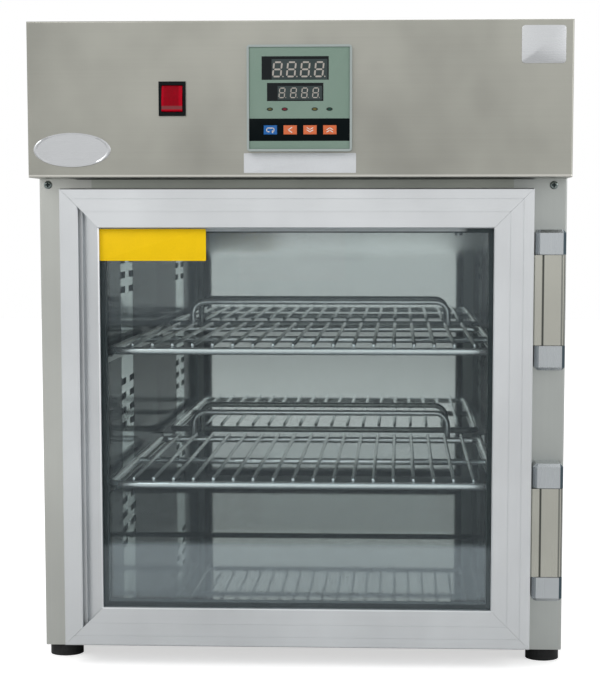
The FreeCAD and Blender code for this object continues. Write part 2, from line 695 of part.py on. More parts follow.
def make_equipment_tray():
    """Shelf that carries motor and switchgear over the insulation."""
    a = HALF_WIDTH - s.sheet
    body = new_body("equipment_tray")
    pad(body, "XY", s.tray_level, TRAY_TOP,
        lambda o: o.rectangle(-a, INSIDE, a, REAR - 2 * s.sheet))
    pad(body, "XZ", INSIDE, INSIDE + s.sheet, lambda o: o.rectangle(
        -HALF_CAVITY, s.tray_level - s.casing_flange, HALF_CAVITY, s.tray_level))
    cut(body, "XY", s.tray_level, TRAY_TOP, draw_service_holes)
    return keep(body, "equipment_tray")


def make_inner_liner():
    """Bright folded liner: floor, sides, back and top, open to the door."""
    skin = s.liner_sheet
    body = new_body("inner_liner")
    pad(body, "XY", s.cavity_floor - skin, LINER_TOP, lambda o: o.rectangle(
        -DUCT_OUTER - skin, INSIDE, DUCT_OUTER + skin, CAVITY_BACK + skin))
    cut(body, "XZ", INSIDE, CAVITY_BACK, lambda o: o.rectangle(
        -DUCT_OUTER, s.cavity_floor, DUCT_OUTER, PLENUM_TOP))
    cut(body, "XY", PLENUM_TOP, LINER_TOP, draw_service_holes)
    return keep(body, "inner_liner")


def make_duct_panel(name, side):
    """Side wall of the cavity with three groups of air slots and a turned foot."""
    face = HALF_CAVITY * side
    back = (HALF_CAVITY + s.sheet) * side
    foot = (HALF_CAVITY + s.duct_foot) * side
    floor = s.cavity_floor
    body = new_body(name)
    pad(body, "XZ", INSIDE, CAVITY_BACK, lambda o: o.polygon([
        (face, floor), (foot, floor), (foot, floor + s.sheet), (back, floor + s.sheet),
        (back, CEILING), (face, CEILING)]))
    low_x, high_x = (face, back) if side > 0 else (back, face)
    for middle in (s.upper_slots, s.middle_slots, s.lower_slots):
        cut(body, "YZ", low_x, high_x, lambda o, middle=middle: draw_slot_group(o, middle))
    return keep(body, name)


def draw_slot_group(outline, middle):
    """Rows of air slots in two columns."""
    for column in (-1, 1):
        centre = s.slot_centre + (s.slot_length + s.slot_gap) / 2 * column
        for row in range(SLOT_ROWS):
            level = middle + s.slot_pitch * (row - (SLOT_ROWS - 1) / 2)
            outline.rectangle(centre - s.slot_length / 2, level - s.slot_height / 2,
                              centre + s.slot_length / 2, level + s.slot_height / 2)


def make_ceiling_panel():
    """Ceiling of the cavity on the duct panels, with the fan's intake."""
    reach = HALF_CAVITY + s.sheet
    body = new_body("ceiling_panel")
    pad(body, "XY", CEILING, CEILING + s.sheet,
        lambda o: o.rectangle(-reach, INSIDE, reach, CAVITY_BACK))
    cut(body, "XY", CEILING, CEILING + s.sheet, lambda o: (
        o.circle(0, s.fan_y, s.intake_radius),
        o.circle(s.probe_x, s.probe_y, s.probe_radius + s.probe_clearance)))
    return keep(body, "ceiling_panel")


def make_insulation():
    """Slabs between liner and casing on five sides."""
    outer = HALF_WIDTH - s.sheet
    inner = DUCT_OUTER + s.liner_sheet
    rear = CAVITY_BACK + s.liner_sheet
    low = BASE + s.sheet
    side_low = BASE + s.casing_flange + 2 * s.sheet
    back = REAR - 2 * s.sheet
    top = new_body("TopSlab")
    pad(top, "XY", LINER_TOP, s.tray_level,
        lambda o: o.rectangle(-inner, INSIDE + s.sheet, inner, rear))
    cut(top, "XY", LINER_TOP, s.tray_level, draw_service_holes)
    slabs = [
        slab("LeftSlab", (-outer, INSIDE, side_low), (-inner, back, s.tray_level)),
        slab("RightSlab", (inner, INSIDE, side_low), (outer, back, s.tray_level)),
        slab("BaseSlab", (-inner, INSIDE + s.sheet, low),
             (inner, rear, s.cavity_floor - s.liner_sheet)),
        slab("RearSlab", (-inner, rear, low), (inner, REAR - s.sheet, s.tray_level)),
        top,
    ]
    keep(compound("Insulation", slabs), "insulation_slabs")


def make_feet():
    """Round rubber feet with a recess for their screw."""
    for name, (x, y) in foot_places().items():
        body = new_body(name, (x, y, 0))
        r = s.foot_recess
        revolve(body, lambda o: o.polygon([
            (0, r), (r, r), (r, 0), (s.foot_radius, 0),
            (s.foot_radius, s.foot_height), (0, s.foot_height)]))
        keep(body, name)


def make_runners(name, level):
    """Pair of angles on the duct panels that carry one shelf."""
    top = level - s.rod_radius - s.runner_gap
    pair = []
    for side in (-1, 1):
        wall = HALF_CAVITY * side
        edge = (HALF_CAVITY - s.runner_width) * side
        leg = (HALF_CAVITY - s.runner_sheet) * side
        body = new_body("Runner")
        pad(body, "XZ", FACE + s.runner_inset, FACE + s.runner_inset + s.runner_length,
            lambda o: o.polygon([
                (wall, top), (edge, top), (edge, top - s.runner_sheet),
                (leg, top - s.runner_sheet), (leg, top - s.runner_drop),
                (wall, top - s.runner_drop)]))
        pair.append(body)
    keep(compound("Runners", pair), name)


def draw_octagon(outline, u, v, r):
    """Section of a rod or wire with eight flats."""
    f = r * FLAT_SHARE
    outline.polygon([(u + r, v - f), (u + r, v + f), (u + f, v + r), (u - f, v + r),
                     (u - r, v + f), (u - r, v - f), (u - f, v - r), (u + f, v - r)])


def draw_shelf_frame(outline, grow):
    """Shelf outline, moved outwards from the frame rod's axis."""
    x = s.shelf_half + grow
    y0 = -grow
    y1 = s.shelf_depth + grow
    c = s.shelf_corner + grow * (1 - FLAT_SHARE)
    outline.polygon([(c - x, y0), (x - c, y0), (x, y0 + c), (x, y1 - c),
                     (x - c, y1), (c - x, y1), (-x, y1 - c), (-x, y0 + c)])


def make_shelf(name, level):
    """Welded wire shelf: bent frame, cross rod and fore-and-aft wires."""
    body = new_body(name, (0, SHELF_Y, level))
    r = s.rod_radius
    pad(body, "XY", -r, r, lambda o: (draw_shelf_frame(o, r), draw_shelf_frame(o, -r)))
    soften(body, "Chamfer", r * (1 - FLAT_SHARE), lambda p, way: near(abs(p.z), r))
    thin = s.mid_rod_radius
    pad(body, "YZ", -s.shelf_half, s.shelf_half,
        lambda o: draw_octagon(o, s.mid_rod, r - thin, thin))
    first = s.wire_pitch * ((1 - WIRE_COUNT) / 2)
    wire = pad(body, "XZ", -s.wire_overhang, s.shelf_depth + s.wire_overhang,
               lambda o: draw_octagon(o, first, r + s.wire_radius, s.wire_radius))
    pattern = body.newObject("PartDesign::LinearPattern", "Wires")
    pattern.Originals = [wire]
    pattern.Direction = (wire.Profile[0], ["H_Axis"])
    pattern.Occurrences = WIRE_COUNT
    bind(pattern, "Length", s.wire_pitch * (WIRE_COUNT - 1))
    body.Tip = pattern
    return keep(body, name)


def make_shelf_lip(name, level):
    """Bent rod that stands up from the shelf's rear rail."""
    r = s.lip_radius
    body = new_body(name, (0, SHELF_Y + s.shelf_depth + s.rod_radius + r + s.lip_gap, level))
    a = s.lip_half
    foot = -s.rod_radius

    def side(grow):
        x = a + grow
        z = s.lip_rise + grow
        c = s.lip_corner + grow * (1 - FLAT_SHARE)
        return [(-x, foot), (-x, z - c), (c - x, z), (x - c, z), (x, z - c), (x, foot)]

    pad(body, "XZ", -r, r, lambda o: o.polygon(side(r) + side(-r)[::-1]))
    soften(body, "Chamfer", r * (1 - FLAT_SHARE), lambda p, way: (
        near(abs(p.y), r) and not near(p.z, foot)))
    return keep(body, name)


def make_fan_wheel():
    """Backward-curved wheel: hub and back plate, blades and a front ring."""
    body = new_body("fan_wheel", (0, s.fan_y, CEILING + s.sheet + s.fan_gap))
    skin = s.blade_sheet
    top = s.fan_height
    bore = s.shaft_radius + s.shaft_play
    revolve(body, lambda o: o.polygon([
        (bore, top - s.hub_height), (s.hub_radius, top - s.hub_height),
        (s.hub_radius, top - skin), (s.fan_radius, top - skin), (s.fan_radius, top), (bore, top)]))
    tip = s.fan_radius - skin
    blade = pad(body, "XY", skin, top - skin, lambda o: o.polygon([
        (s.fan_eye, 0), (tip, s.blade_lead), (tip, s.blade_lead + skin), (s.fan_eye, skin)]))
    pattern = body.newObject("PartDesign::PolarPattern", "Blades")
    pattern.Originals = [blade]
    pattern.Axis = (blade.Profile[0], ["N_Axis"])
    pattern.Angle = 360
    pattern.Occurrences = BLADE_COUNT
    body.Tip = pattern
    revolve(body, lambda o: o.rectangle(s.fan_eye, 0, s.fan_radius, skin))
    return keep(body, "fan_wheel")


def make_fan_drive():
    """Motor on the tray and the shaft down to the wheel's hub."""
    low = CEILING + s.sheet + s.fan_gap + s.fan_height - s.hub_height
    shaft = DOCUMENT.addObject("Part::Cylinder", "Shaft")
    bind(shaft, "Radius", s.shaft_radius)
    bind(shaft, "Height", TRAY_TOP + s.shaft_bite - low)
    place(shaft, (0, s.fan_y, low))
    keep(shaft, "fan_shaft")
    body = new_body("fan_motor", (0, s.fan_y, TRAY_TOP))
    bore = s.shaft_radius + s.shaft_play
    half = s.motor_flange
    pad(body, "XY", 0, s.motor_edge, lambda o: o.rectangle(-half, -half, half, half))
    pad(body, "XY", s.motor_edge, s.motor_height, lambda o: o.circle(0, 0, s.motor_radius))
    cut(body, "XY", 0, s.shaft_bite, lambda o: o.circle(0, 0, bore))
    return keep(body, "fan_motor")


def make_fan_guard():
    """Slotted plate under the ceiling panel that keeps hands off the fan."""
    half = s.guard_size / 2
    low = CEILING - s.sheet
    body = new_body("fan_guard")
    pad(body, "XY", low, CEILING,
        lambda o: o.rectangle(-half, s.fan_y - half, half, s.fan_y + half))
    for k in range(GUARD_COUNT):
        x = s.guard_pitch * (k - (GUARD_COUNT - 1) / 2)
        cut(body, "XY", low, CEILING, lambda o, x=x: o.rectangle(
            x - s.guard_slot / 2, s.fan_y - s.intake_radius,
            x + s.guard_slot / 2, s.fan_y + s.intake_radius))
    soften(body, "Chamfer", s.guard_corner, lambda p, way: (
        along(way, "z") and near(abs(p.x), half)))
    return keep(body, "fan_guard")


def leg_place():
    """Half the distance between the element's legs, and their distance from the fan axis."""
    gap = math.radians(ELEMENT_GAP)
    return s.element_ring * math.sin(gap), s.element_ring * math.cos(gap)


def draw_element_ring(outline):
    """Ring of straight lengths round the fan wheel, open between the legs."""
    r = s.element_tube
    turns = [ELEMENT_GAP + (360 - 2 * ELEMENT_GAP) * k / ELEMENT_SIDES for k in range(ELEMENT_SIDES + 1)]
    rays = [(math.sin(math.radians(turn)), math.cos(math.radians(turn))) for turn in turns]
    outer = [((s.element_ring + r) * x, (s.element_ring + r) * y) for x, y in rays]
    inner = [((s.element_ring - r) * x, (s.element_ring - r) * y) for x, y in rays]
    outline.polygon(outer + inner[::-1])


def make_heating_element():
    """Tube bent round the fan wheel; a flange on the tray holds its two legs."""
    level = PLENUM_TOP - s.plenum_height / 2
    seat = TRAY_TOP - level
    body = new_body("heating_element", (0, s.fan_y, level))
    r = s.element_tube
    legs, reach = leg_place()
    pad(body, "XY", -r, r, draw_element_ring)
    soften(body, "Chamfer", r * (1 - FLAT_SHARE), lambda p, way: near(abs(p.z), r))
    pad(body, "XY", -r, seat + s.element_stand,
        lambda o: (draw_octagon(o, -legs, reach, r), draw_octagon(o, legs, reach, r)))
    a = legs + s.element_flange
    b = s.element_flange
    pad(body, "XY", seat, seat + s.sheet, lambda o: o.rectangle(-a, reach - b, a, reach + b))
    return keep(body, "heating_element")


def make_controller():
    """Temperature controller: case behind the header, bezel, two windows and four keys."""
    half = s.case_size / 2
    rear = HEADER_FRONT + s.case_depth
    case = new_body("controller_case")
    pad(case, "XZ", HEADER_FRONT, rear, lambda o: o.rectangle(
        s.control_x - half, s.control_z - half, s.control_x + half, s.control_z + half))
    cut(case, "XZ", rear - s.terminal_recess, rear, lambda o: [
        o.rectangle(s.control_x + (half - s.terminal_recess) * side - s.terminal_recess / 2,
                    s.control_z - half + s.terminal_recess,
                    s.control_x + (half - s.terminal_recess) * side + s.terminal_recess / 2,
                    s.control_z + half - s.terminal_recess) for side in (-1, 1)])
    keep(case, "controller_case")
    make_controller_bezel()
    face = HEADER_FRONT - s.bezel_proud + s.face_recess
    lenses = [slab("Lens", (left, face, low), (right, face + s.display_sheet, high))
              for left, low, right, high in display_windows()]
    keep(compound("Lenses", lenses), "controller_window")
    for name, x in zip(("set_key", "shift_key", "down_key", "up_key"), key_places()):
        make_key(name, x)


def display_windows():
    """Left, lower, right and upper edge of both display windows."""
    middle = s.control_x + s.display_left
    sizes = ((s.display_upper_width, s.display_upper_height, s.display_upper_rise),
             (s.display_lower_width, s.display_lower_height, s.display_lower_rise))
    return [(middle - width / 2, s.control_z + rise - height / 2,
             middle + width / 2, s.control_z + rise + height / 2)
            for width, height, rise in sizes]


def key_places():
    """Middle of each key from left to right."""
    return [s.control_x + s.key_shift + s.key_pitch * step for step in (-1.5, -0.5, 0.5, 1.5)]


def make_controller_bezel():
    """Bezel with a raised rim, seats for the windows and holes for the keys."""
    half = s.bezel_size / 2
    rim = half - s.bezel_rim
    front = HEADER_FRONT - s.bezel_proud
    face = front + s.face_recess
    x, z = s.control_x, s.control_z
    body = new_body("controller_bezel")
    pad(body, "XZ", front, HEADER_FRONT, lambda o: o.rectangle(x - half, z - half, x + half, z + half))
    cut(body, "XZ", front, face, lambda o: o.rectangle(x - rim, z - rim, x + rim, z + rim))
    cut(body, "XZ", face, face + s.display_sheet, lambda o: [
        o.rectangle(*window) for window in display_windows()])
    step = s.window_ledge
    cut(body, "XZ", face + s.display_sheet, HEADER_FRONT, lambda o: [
        o.rectangle(left + step, low + step, right - step, high - step)
        for left, low, right, high in display_windows()])
    wide = s.key_width / 2 + s.key_gap
    tall = s.key_height / 2 + s.key_gap
    row = z - s.key_drop
    places = key_places()
    cut(body, "XZ", face, HEADER_FRONT, lambda o: [
        o.rectangle(at - wide, row - tall, at + wide, row + tall) for at in places])
    room = s.key_flange + s.key_gap
    cut(body, "XZ", key_flange_front() - s.key_play, HEADER_FRONT, lambda o: o.rectangle(
        places[0] - wide - room, row - tall - room, places[3] + wide + room, row + tall + room))
    soften(body, "Fillet", s.bezel_corner, lambda p, way: (
        along(way, "y") and near(abs(p.x - x.value), half)))
    return keep(body, "controller_bezel")


def key_flange_front():
    """Front of the flanges that hold the keys in the bezel."""
    return HEADER_FRONT - s.key_travel_room - s.key_flange


def make_key(name, x):
    """Key cap with the flange that keeps it in the bezel."""
    body = new_body(name, (x, HEADER_FRONT, s.control_z - s.key_drop))
    a = s.key_width / 2
    b = s.key_height / 2
    back = -s.key_travel_room
    front = s.face_recess - s.bezel_proud - s.key_rise
    grow = s.key_flange
    pad(body, "XZ", front, back, lambda o: o.rectangle(-a, -b, a, b))
    wide = a + grow
    tall = b + grow
    pad(body, "XZ", back - s.key_flange, back, lambda o: o.rectangle(-wide, -tall, wide, tall))
    soften(body, "Fillet", s.key_edge, lambda p, way: near(p.y, front))
    return keep(body, name)


def root(size):
    """Square root of a size."""
    return Size(size.value ** 0.5, f"sqrt({size.formula})")


def make_switch():
    """Power switch: a bezel with its body, and the rocker at rest with its top pressed in."""
    x, z = s.switch_x, s.control_z
    wide = s.rocker_width / 2 + s.rocker_gap
    tall = s.rocker_radius + s.rocker_gap
    front = HEADER_FRONT - s.switch_rim
    body = new_body("rocker_bezel", (x, 0, z))
    pad(body, "XZ", front, HEADER_FRONT, lambda o: o.rectangle(
        -s.switch_width / 2, -s.switch_height / 2, s.switch_width / 2, s.switch_height / 2))
    pad(body, "XZ", HEADER_FRONT, HEADER_FRONT + s.switch_body_depth, lambda o: o.rectangle(
        -s.switch_body_width / 2, -s.switch_body_height / 2,
        s.switch_body_width / 2, s.switch_body_height / 2))
    cut(body, "XZ", front, HEADER_FRONT + s.rocker_pivot + s.rocker_room,
        lambda o: o.rectangle(-wide, -tall, wide, tall))
    keep(body, "rocker_bezel")
    rocker = new_body("power_rocker", (x, HEADER_FRONT + s.rocker_pivot, z))
    rocker.Placement = Placement(rocker.Placement.Base, Rotation(Vector(-1, 0, 0), 1))
    bind(rocker, ".Placement.Rotation.Angle", s.rocker_angle)
    slope = Size(math.tan(math.radians(s.rocker_angle.value)), f"tan({s.rocker_angle.formula} * 1 deg)")
    square = s.rocker_radius * s.rocker_radius
    spread = 1 + slope * slope
    end_z = (s.rocker_rise * slope + root(square * spread - s.rocker_rise * s.rocker_rise)) / spread
    end_y = end_z * slope - s.rocker_rise
    back_z = root(square - s.rocker_back * s.rocker_back)
    pad(rocker, "YZ", -s.rocker_width / 2, s.rocker_width / 2, lambda o: o.polygon([
        (-s.rocker_rise, 0), (end_y, end_z, -s.rocker_radius), (s.rocker_back, back_z),
        (s.rocker_back, -back_z, -s.rocker_radius), (end_y, -end_z)]))
    return keep(rocker, "power_rocker")


def make_switchgear():
    """Terminal block and heater relay on the equipment tray."""
    block = new_body("terminal_block", (s.terminal_x, s.switchgear_y, TRAY_TOP))
    a = s.terminal_width / 2
    b = s.terminal_depth / 2
    pad(block, "XY", 0, s.terminal_height, lambda o: o.rectangle(-a, -b, a, b))
    rib = s.terminal_rib
    pad(block, "XY", s.terminal_height, s.terminal_height + s.terminal_barrier, lambda o: [
        o.rectangle(x - rib / 2, -b, x + rib / 2, b)
        for x in [(a - rib / 2) * (2 * k / TERMINAL_WAYS - 1) for k in range(TERMINAL_WAYS + 1)]])
    keep(block, "terminal_block")
    relay = new_body("heater_relay", (s.relay_x, s.switchgear_y, TRAY_TOP))
    a = s.relay_width / 2
    b = s.relay_depth / 2
    pad(relay, "XY", 0, s.relay_base, lambda o: o.rectangle(-a, -b, a, b))
    edge = s.relay_base
    pad(relay, "XY", s.relay_base, s.relay_height,
        lambda o: o.rectangle(edge - a, edge - b, a - edge, b - edge))
    cut(relay, "XY", s.relay_height - s.relay_well, s.relay_height, lambda o: [
        o.rectangle(x - s.relay_well, y - s.relay_well, x + s.relay_well, y + s.relay_well)
        for x in (-a / 2, a / 2) for y in (-b * 0.7, b * 0.7)])
    keep(relay, "heater_relay")


def make_probe():
    """Temperature probe through the ceiling panel with its nut underneath."""
    body = new_body("temperature_probe", (s.probe_x, s.probe_y, CEILING))
    pad(body, "XY", -s.probe_drop, s.sheet, lambda o: o.circle(0, 0, s.probe_radius))
    pad(body, "XY", s.sheet, s.sheet + s.probe_nut_height, lambda o: draw_octagon(o, 0, 0, s.probe_nut))
    pad(body, "XY", -s.probe_nut_height, 0, lambda o: draw_hexagon(o, s.probe_nut))
    return keep(body, "temperature_probe")


def draw_hexagon(outline, radius):
    """Nut section round the origin."""
    half = radius / 2
    flat = radius * HEX_SHARE
    outline.polygon([(radius, 0), (half, flat), (-half, flat), (-radius, 0), (-half, -flat), (half, -flat)])


def make_inlet():
    """Appliance inlet in the rear panel: flange, body and a socket with three pins."""
    x, z = s.inlet_x, s.inlet_z
    out = REAR + s.inlet_proud
    deep = out - s.inlet_socket
    body = new_body("mains_inlet")
    pad(body, "XZ", REAR, out, lambda o: o.rectangle(
        x - s.inlet_width / 2, z - s.inlet_height / 2, x + s.inlet_width / 2, z + s.inlet_height / 2))
    a = s.inlet_body_width / 2
    b = s.inlet_body_height / 2
    pad(body, "XZ", REAR - s.inlet_body_depth, REAR, lambda o: o.rectangle(x - a, z - b, x + a, z + b))
    wall = s.inlet_wall
    cut(body, "XZ", deep, out, lambda o: o.polygon([
        (x - a + wall, z - b + wall), (x + a - wall, z - b + wall), (x + a - wall, z + wall),
        (x + a - 3 * wall, z + b - wall), (x - a + 3 * wall, z + b - wall), (x - a + wall, z + wall)]))
    pad(body, "XZ", deep, out - wall, lambda o: [
        o.rectangle(x + dx - s.inlet_pin / 2, z + dz - s.inlet_pin,
                    x + dx + s.inlet_pin / 2, z + dz + s.inlet_pin)
        for dx, dz in ((-s.inlet_pin_gap, -wall), (0, wall), (s.inlet_pin_gap, -wall))])
    return keep(body, "mains_inlet")


def rail_profile():
    """Section of a plain door rail: distance from the outer edge, distance behind the front."""
    c = s.rail_chamfer
    g = s.rail_groove
    inner = s.rail_width - s.glass_bite
    middle = s.gasket_inset + s.gasket_width / 2
    root_half = s.gasket_root / 2 + s.gasket_side
    back = s.door_depth
    floor = back - s.gasket_groove
    return [
        (0, c), (c, 0), (s.outer_groove, 0), (s.outer_groove, g), (s.outer_groove + g, g),
        (s.outer_groove + g, 0), (s.inner_groove, 0), (s.inner_groove, g),
        (s.inner_groove + g, g), (s.inner_groove + g, 0), (s.rail_width - c, 0), (s.rail_width, c),
        (s.rail_width, s.glass_recess), (inner, s.glass_recess), (inner, back),
        (middle + root_half, back), (middle + root_half, floor), (middle - root_half, floor),
        (middle - root_half, back), (0, back)]


def handle_profile():
    """Section of the handle stile: strip, undercut and finger hollow instead of the grooves."""
    plain = rail_profile()
    c = s.rail_chamfer
    crest = s.rail_width - s.pull_crest
    return [
        (0, c), (c, 0), (s.pull_strip - c, 0), (s.pull_strip, c), (s.pull_strip, s.pull_lip),
        (s.pull_undercut, s.pull_lip + s.pull_slant), (s.pull_undercut + s.pull_wall, s.pull_depth),
        (s.pull_bottom, s.pull_depth), (s.pull_bottom + s.pull_rise, s.pull_shoulder, -s.pull_bend),
        (crest, c), (s.rail_width, c + s.rail_groove)] + plain[12:]


def make_rail(name, plane, near_x, level_z, profile):
    """Extrude one door rail, hollow it and cut its mitres.

    near_x is +1 when the profile's outer edge lies on the door's left or
    lower side, and -1 on the other; level_z tells which.
    """
    left, right = DOOR_LEFT, DOOR_RIGHT
    low, high = s.door_bottom, s.door_bottom + s.door_height
    y = DOOR_FRONT
    outer = {("XY", 1): left, ("XY", -1): right, ("YZ", 1): low, ("YZ", -1): high}[plane, near_x]
    start, end = level_z

    def lay(points):
        if plane == "XY":
            return [(outer + near_x * u, y + v) + tuple(bend) for u, v, *bend in points]
        return [(y + v, outer + near_x * u) for u, v in points]

    chamber = [(s.chamber_edge, s.chamber_front), (s.chamber_inner, s.chamber_front),
               (s.chamber_inner, s.chamber_back), (s.chamber_edge, s.chamber_back)]
    body = new_body(name)
    pad(body, plane, start, end, lambda o: o.polygon(lay(profile)))
    cut(body, plane, start, end, lambda o: o.polygon(lay(chamber)))
    w = s.rail_width
    g = s.mitre_gap
    inner = outer + near_x * w
    wedges = []
    for edge, way in ((start, 1), (end, -1)):
        far = as_size(edge) + way * (w + g)
        close = as_size(edge) + way * g
        corners = [(outer, edge), (outer, close), (inner, far), (inner, edge)]
        wedges.append(corners if plane == "XY" else [(v, u) for u, v in corners])
    for corners in wedges:
        cut(body, "XZ", y, y + s.door_depth, lambda o, corners=corners: o.polygon(corners))
    return keep(body, name)


def make_door_frame():
    """Four mitred rails."""
    sides = (s.door_bottom, s.door_bottom + s.door_height)
    ends = (DOOR_LEFT, DOOR_RIGHT)
    make_rail("door_top_rail", "YZ", -1, ends, rail_profile())
    make_rail("door_bottom_rail", "YZ", 1, ends, rail_profile())
    make_rail("door_handle_stile", "XY", 1, sides, handle_profile())
    make_rail("door_hinge_stile", "XY", -1, sides, rail_profile())


def make_corner_keys():
    """Angle blocks in the rails' chambers that hold the mitred corners."""
    gap = s.key_clearance
    first = s.chamber_edge + gap
    last = s.chamber_inner - gap
    arm = s.key_arm
    blocks = []
    for x, side in ((DOOR_LEFT, 1), (DOOR_RIGHT, -1)):
        for z, way in ((s.door_bottom, 1), (s.door_bottom + s.door_height, -1)):
            body = new_body("CornerKey")
            corners = [(x + side * u, z + way * v) for u, v in (
                (first, first), (arm, first), (arm, last), (last, last), (last, arm), (first, arm))]
            pad(body, "XZ", DOOR_FRONT + s.chamber_front + gap, DOOR_FRONT + s.chamber_back - gap,
                lambda o, corners=corners: o.polygon(corners))
            blocks.append(body)
    keep(compound("CornerKeys", blocks), "door_corner_keys")


def door_rectangle(outline, inset):
    """Rectangle parallel to the door's outer edge."""
    outline.rectangle(DOOR_LEFT + inset, s.door_bottom + inset,
                      DOOR_RIGHT - inset, s.door_bottom + s.door_height - inset)


def door_ring(body, inset, width, front, back):
    """Rectangular ring parallel to the door's outer edge, placed behind the door's front."""
    def draw(outline):
        door_rectangle(outline, inset)
        door_rectangle(outline, inset + width)

    pad(body, "XZ", DOOR_FRONT + front, DOOR_FRONT + back, draw)


def make_glazing():
    """Two glasses, the spacer between them and the bead that holds them in."""
    inset = s.rail_width - s.glass_bite + s.glass_clearance
    first = s.glass_recess
    gap = first + s.glass_sheet
    second = gap + s.glass_space
    bead = second + s.glass_sheet
    for name, front in (("outer_glass", first), ("inner_glass", second)):
        y = DOOR_FRONT + front
        keep(slab("Glass", (DOOR_LEFT + inset, y, s.door_bottom + inset),
                  (DOOR_RIGHT - inset, y + s.glass_sheet, s.door_bottom + s.door_height - inset)), name)
    spacer = new_body("glass_spacer")
    door_ring(spacer, inset, s.spacer_width, gap, second)
    keep(spacer, "glass_spacer")
    holder = new_body("glazing_bead")
    edge = s.rail_width - s.glass_bite + s.bead_gap
    door_ring(holder, edge, s.bead_width, bead, bead + s.bead_depth)
    soften(holder, "Chamfer", s.bead_chamfer, lambda p, way: (
        near(p.y, DOOR_FRONT + bead + s.bead_depth) and is_on_ring(p, edge + s.bead_width)))
    keep(holder, "glazing_bead")


def is_on_ring(p, inset):
    """Tell whether a point lies on a rectangle parallel to the door's edge."""
    return (near(p.x, DOOR_LEFT + inset) or near(p.x, DOOR_RIGHT - inset)
            or near(p.z, s.door_bottom + inset) or near(p.z, s.door_bottom + s.door_height - inset))


def make_gasket():
    """Door gasket: root in the rails' groove, neck, and the soft lip towards the cabinet."""
    middle = s.gasket_inset + s.gasket_width / 2
    back = s.door_depth
    end = FACE - DOOR_FRONT - s.gasket_gap
    body = new_body("door_gasket")
    door_ring(body, s.gasket_inset, s.gasket_width, back + s.gasket_base, end)
    neck = s.gasket_root + s.gasket_neck
    door_ring(body, middle - neck / 2, neck, back, back + s.gasket_base)
    door_ring(body, middle - s.gasket_root / 2, s.gasket_root, back - s.gasket_groove, back)
    soften(body, "Fillet", s.gasket_round, lambda p, way: near(p.y, DOOR_FRONT + end))
    return keep(body, "door_gasket")


def make_hinge(name, level):
    """Block, barrel and block of one hinge, from its lower end up."""
    low_top = level + s.hinge_block
    barrel = low_top + s.hinge_play
    barrel_top = barrel + s.hinge_barrel
    high = barrel_top + s.hinge_play
    bore = s.pin_radius + s.pin_clearance
    for label, start, mouth in ((f"{name}_bottom_block", level, low_top - s.pin_bite),
                                (f"{name}_top_block", high, high)):
        body = new_body(label, (s.hinge_x, HINGE_Y, 0))
        pad(body, "XY", start, start + s.hinge_block, draw_hinge_block)
        cut(body, "XY", mouth, mouth + s.pin_bite, lambda o: o.circle(0, 0, bore))
        outside = level if start is level else start + s.hinge_block
        soften(body, "Chamfer", s.hinge_edge, lambda p, way: (
            near(p.z, outside) and p.y < s.hinge_stand.value - 1))
        keep(body, label)
    body = new_body(f"{name}_barrel", (s.hinge_x, HINGE_Y, 0))
    pad(body, "XY", barrel, barrel_top, draw_hinge_barrel)
    cut(body, "XY", barrel, barrel_top, lambda o: o.circle(0, 0, bore))
    keep(body, f"{name}_barrel")


def draw_hinge_block(outline):
    """Section of a block that stands on the column."""
    left, right, front = -s.hinge_left, s.hinge_right, -s.hinge_front
    c = s.hinge_chamfer
    outline.polygon([
        (left, s.hinge_stand), (right, s.hinge_stand), (right, front + s.hinge_edge),
        (right - s.hinge_edge, front), (left + c, front), (left, front + c)])


def draw_hinge_barrel(outline):
    """Section of the barrel on the door's edge, with the joint line of its cover."""
    left = DOOR_RIGHT - s.hinge_x
    right = s.hinge_right - s.barrel_step
    front = -s.hinge_front
    back = s.barrel_back
    g = s.rail_groove
    seam = left + s.barrel_seam
    outline.polygon([
        (left, back), (right - s.barrel_back_round, back, -s.barrel_back_round),
        (right, back - s.barrel_back_round), (right, front + s.barrel_round, -s.barrel_round),
        (right - s.barrel_round, front), (seam + g, front), (seam + g, front + g),
        (seam, front + g), (seam, front), (left + s.barrel_edge, front),
        (left, front + s.barrel_edge)])


def make_hinge_pins():
    """One pin through each hinge."""
    pins = []
    for level in (s.upper_hinge, s.lower_hinge):
        start = level + s.hinge_block - s.pin_bite
        pin = DOCUMENT.addObject("Part::Cylinder", "Pin")
        bind(pin, "Radius", s.pin_radius)
        bind(pin, "Height", 2 * s.pin_bite + 2 * s.hinge_play + s.hinge_barrel)
        place(pin, (s.hinge_x, HINGE_Y, start))
        pins.append(pin)
    keep(compound("Pins", pins), "hinge_pins")


def build():
    """Make every sub-part."""
    make_side_panel("left_side_panel", -1)
    make_side_panel("right_side_panel", 1)
    make_header_fascia()
    make_top_panel()
    make_base_pan()
    make_rear_panel()
    make_front_rails()
    make_equipment_tray()
    make_inner_liner()
    make_duct_panel("left_duct_panel", -1)
    make_duct_panel("right_duct_panel", 1)
    make_ceiling_panel()
    make_insulation()
    make_feet()
    for place_name, level in (("upper", s.upper_shelf_level), ("lower", s.lower_shelf_level)):
        make_runners(f"{place_name}_shelf_runners", level)
        make_shelf(f"{place_name}_shelf", level)
        make_shelf_lip(f"{place_name}_shelf_lip", level)
    make_fan_wheel()
    make_fan_drive()
    make_fan_guard()
    make_heating_element()
    make_controller()
    make_switch()
    make_switchgear()
    make_probe()
    make_inlet()
    make_door_frame()
    make_corner_keys()
    make_glazing()
    make_gasket()
    make_hinge("upper_hinge", s.upper_hinge)
    make_hinge("lower_hinge", s.lower_hinge)
    make_hinge_pins()


